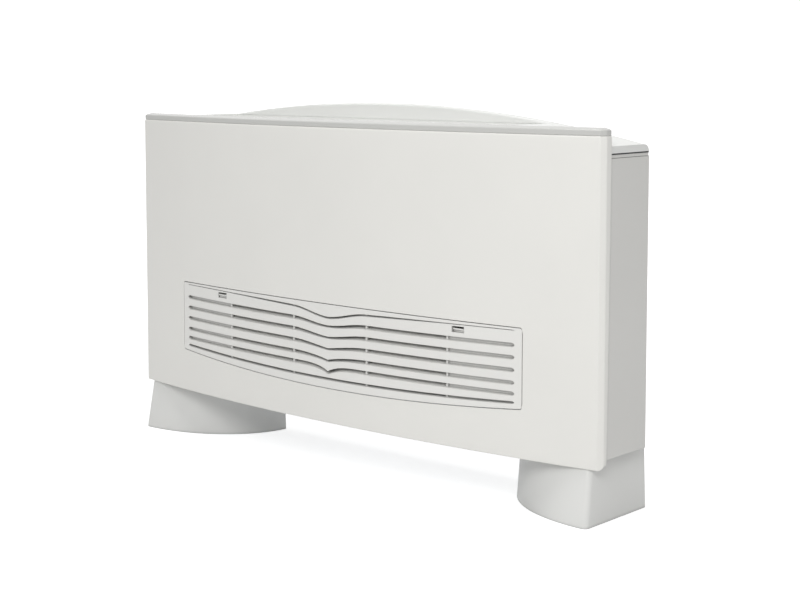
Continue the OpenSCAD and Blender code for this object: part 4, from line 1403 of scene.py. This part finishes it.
@dataclass
class Studio:
    """Floor, light and camera.

    Attributes:
        camera_at: Camera position.
        yaw_deg: Turn of the view direction from +Y towards -X.
        pitch_deg: Downward pitch.
        lens_mm: Focal length.
        sensor_mm: Width of the sensor.
        shift_y: Vertical lens shift that places the unit as in the photograph.
        far: Distance to which the camera sees.
        ambient: World light level.
        backdrop: Level of the backdrop as the camera sees it, a little over white.
        lamps: The soft lights.
        floor_half: Half the side of the floor.
        floor_tone: Colour of the floor.
        floor_roughness: Roughness of the floor.
        floor_gloss: Specular level of the floor.
        near_glow: Share of white that the floor gives to the camera near the unit.
        fade: Distances from the unit between which the floor turns to the white backdrop.
    """

    camera_at: tuple[float, float, float] = (1.7863, -1.9280, 0.6795)
    yaw_deg: float = 41.56
    pitch_deg: float = 5.0
    lens_mm: float = 70.8
    sensor_mm: float = 36.0
    shift_y: float = -0.130
    far: float = 200.0
    ambient: float = 0.40
    backdrop: float = 1.1
    lamps: tuple[Lamp, ...] = (
        Lamp("key_light", (1.5, -2.0, 1.75), (0.2, -0.05, 0.33), 1.0, 29.0),
        Lamp("top_light", (0.0, -0.25, 2.6), (0.0, -0.05, 0.3), 1.2, 22.0),
    )
    floor_half: float = 30.0
    floor_tone: float = 0.85
    floor_roughness: float = 0.9
    floor_gloss: float = 0.1
    near_glow: float = 0.60
    fade: tuple[float, float] = (0.75, 1.8)

    def build(self) -> None:
        """Builds the floor, the lights, the world and the camera."""
        self._floor()
        self._world()
        for lamp in self.lamps:
            lamp.build()
            LOG.info("light %s: %.1f W", lamp.name, lamp.power)
        self._camera()

    @staticmethod
    def _seen(tree: Tree) -> Socket:
        """Adds a value that tells what is seen from light that falls on things.

        Args:
            tree: The node tree.

        Returns:
            The value's socket: 1 for what the camera, metal and glass see, and 0 for light.
        """
        path = tree.nodes.new("ShaderNodeLightPath")
        value = path.outputs["Is Camera Ray"]
        for ray in ("Is Glossy Ray", "Is Transmission Ray"):
            value = combine(tree, "MAXIMUM", value, path.outputs[ray])
        return value

    def _floor(self) -> None:
        """Builds a wide pale floor that keeps the unit's shadow and fades to the backdrop."""
        mesh = bpy.data.meshes.new("floor")
        s = self.floor_half
        mesh.from_pydata([(-s, -s, 0), (s, -s, 0), (s, s, 0), (-s, s, 0)], [], [(0, 1, 2, 3)])
        mat = bpy.data.materials.new("floor_paint")
        mat.use_nodes = True
        tree = mat.node_tree
        nodes, link = tree.nodes, tree.links.new
        bsdf = nodes["Principled BSDF"]
        tone = self.floor_tone
        bsdf.inputs["Base Color"].default_value = (tone, tone, tone, 1.0)
        bsdf.inputs["Roughness"].default_value = self.floor_roughness
        bsdf.inputs["Specular IOR Level"].default_value = self.floor_gloss
        bsdf.inputs["Emission Color"].default_value = WHITE
        coords = nodes.new("ShaderNodeTexCoord")
        reach = nodes.new("ShaderNodeVectorMath")
        reach.operation = "LENGTH"
        link(coords.outputs["Object"], reach.inputs[0])
        glow = remap(tree, reach.outputs["Value"], self.fade, (self.near_glow, 1.0), "SMOOTHSTEP")
        seen_glow = combine(tree, "MULTIPLY", self._seen(tree), glow)
        link(seen_glow, bsdf.inputs["Emission Strength"])
        mesh.materials.append(mat)
        obj = bpy.data.objects.new("floor", mesh)
        bpy.context.scene.collection.objects.link(obj)

    def _world(self) -> None:
        """Makes a white backdrop for the camera and plain ambient light for everything else."""
        world = bpy.data.worlds.new("studio")
        bpy.context.scene.world = world
        world.use_nodes = True
        tree = world.node_tree
        back = tree.nodes["Background"]
        back.inputs["Color"].default_value = WHITE
        level = remap(tree, self._seen(tree), (0.0, 1.0), (self.ambient, self.backdrop))
        tree.links.new(level, back.inputs["Strength"])

    def _camera(self) -> None:
        """Places the camera at the photograph's angle."""
        yaw, pitch = math.radians(self.yaw_deg), math.radians(self.pitch_deg)
        level = math.cos(pitch)
        forward = Vector((-math.sin(yaw) * level, math.cos(yaw) * level, -math.sin(pitch)))
        data = bpy.data.cameras.new("camera")
        data.sensor_width = self.sensor_mm
        data.lens = self.lens_mm
        data.shift_y = self.shift_y
        data.clip_end = self.far
        obj = bpy.data.objects.new("camera", data)
        turn = forward.to_track_quat("-Z", "Y").to_matrix().to_4x4()
        obj.matrix_world = Matrix.Translation(self.camera_at) @ turn
        bpy.context.scene.collection.objects.link(obj)
        bpy.context.scene.camera = obj


def main() -> None:
    logging.basicConfig(level=logging.INFO, format="%(name)s: %(message)s")
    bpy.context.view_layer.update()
    slots = {s["node"]: s["material_slot"] for s in frame["record"]["subparts"]}
    Dresser(slots).dress()
    FrontPanel().build()
    TopRim().build()
    RoofSealsAndShadowLine().build()
    feet = Feet()
    for side in Side:
        feet.build(side)
    stack = FinStack()
    stack.build()
    stack.tubes()
    FilterWeave().build()
    Screws().build()
    bpy.context.scene.view_settings.view_transform = "Standard"
    Studio().build()


if __name__ == "__main__":
    main()
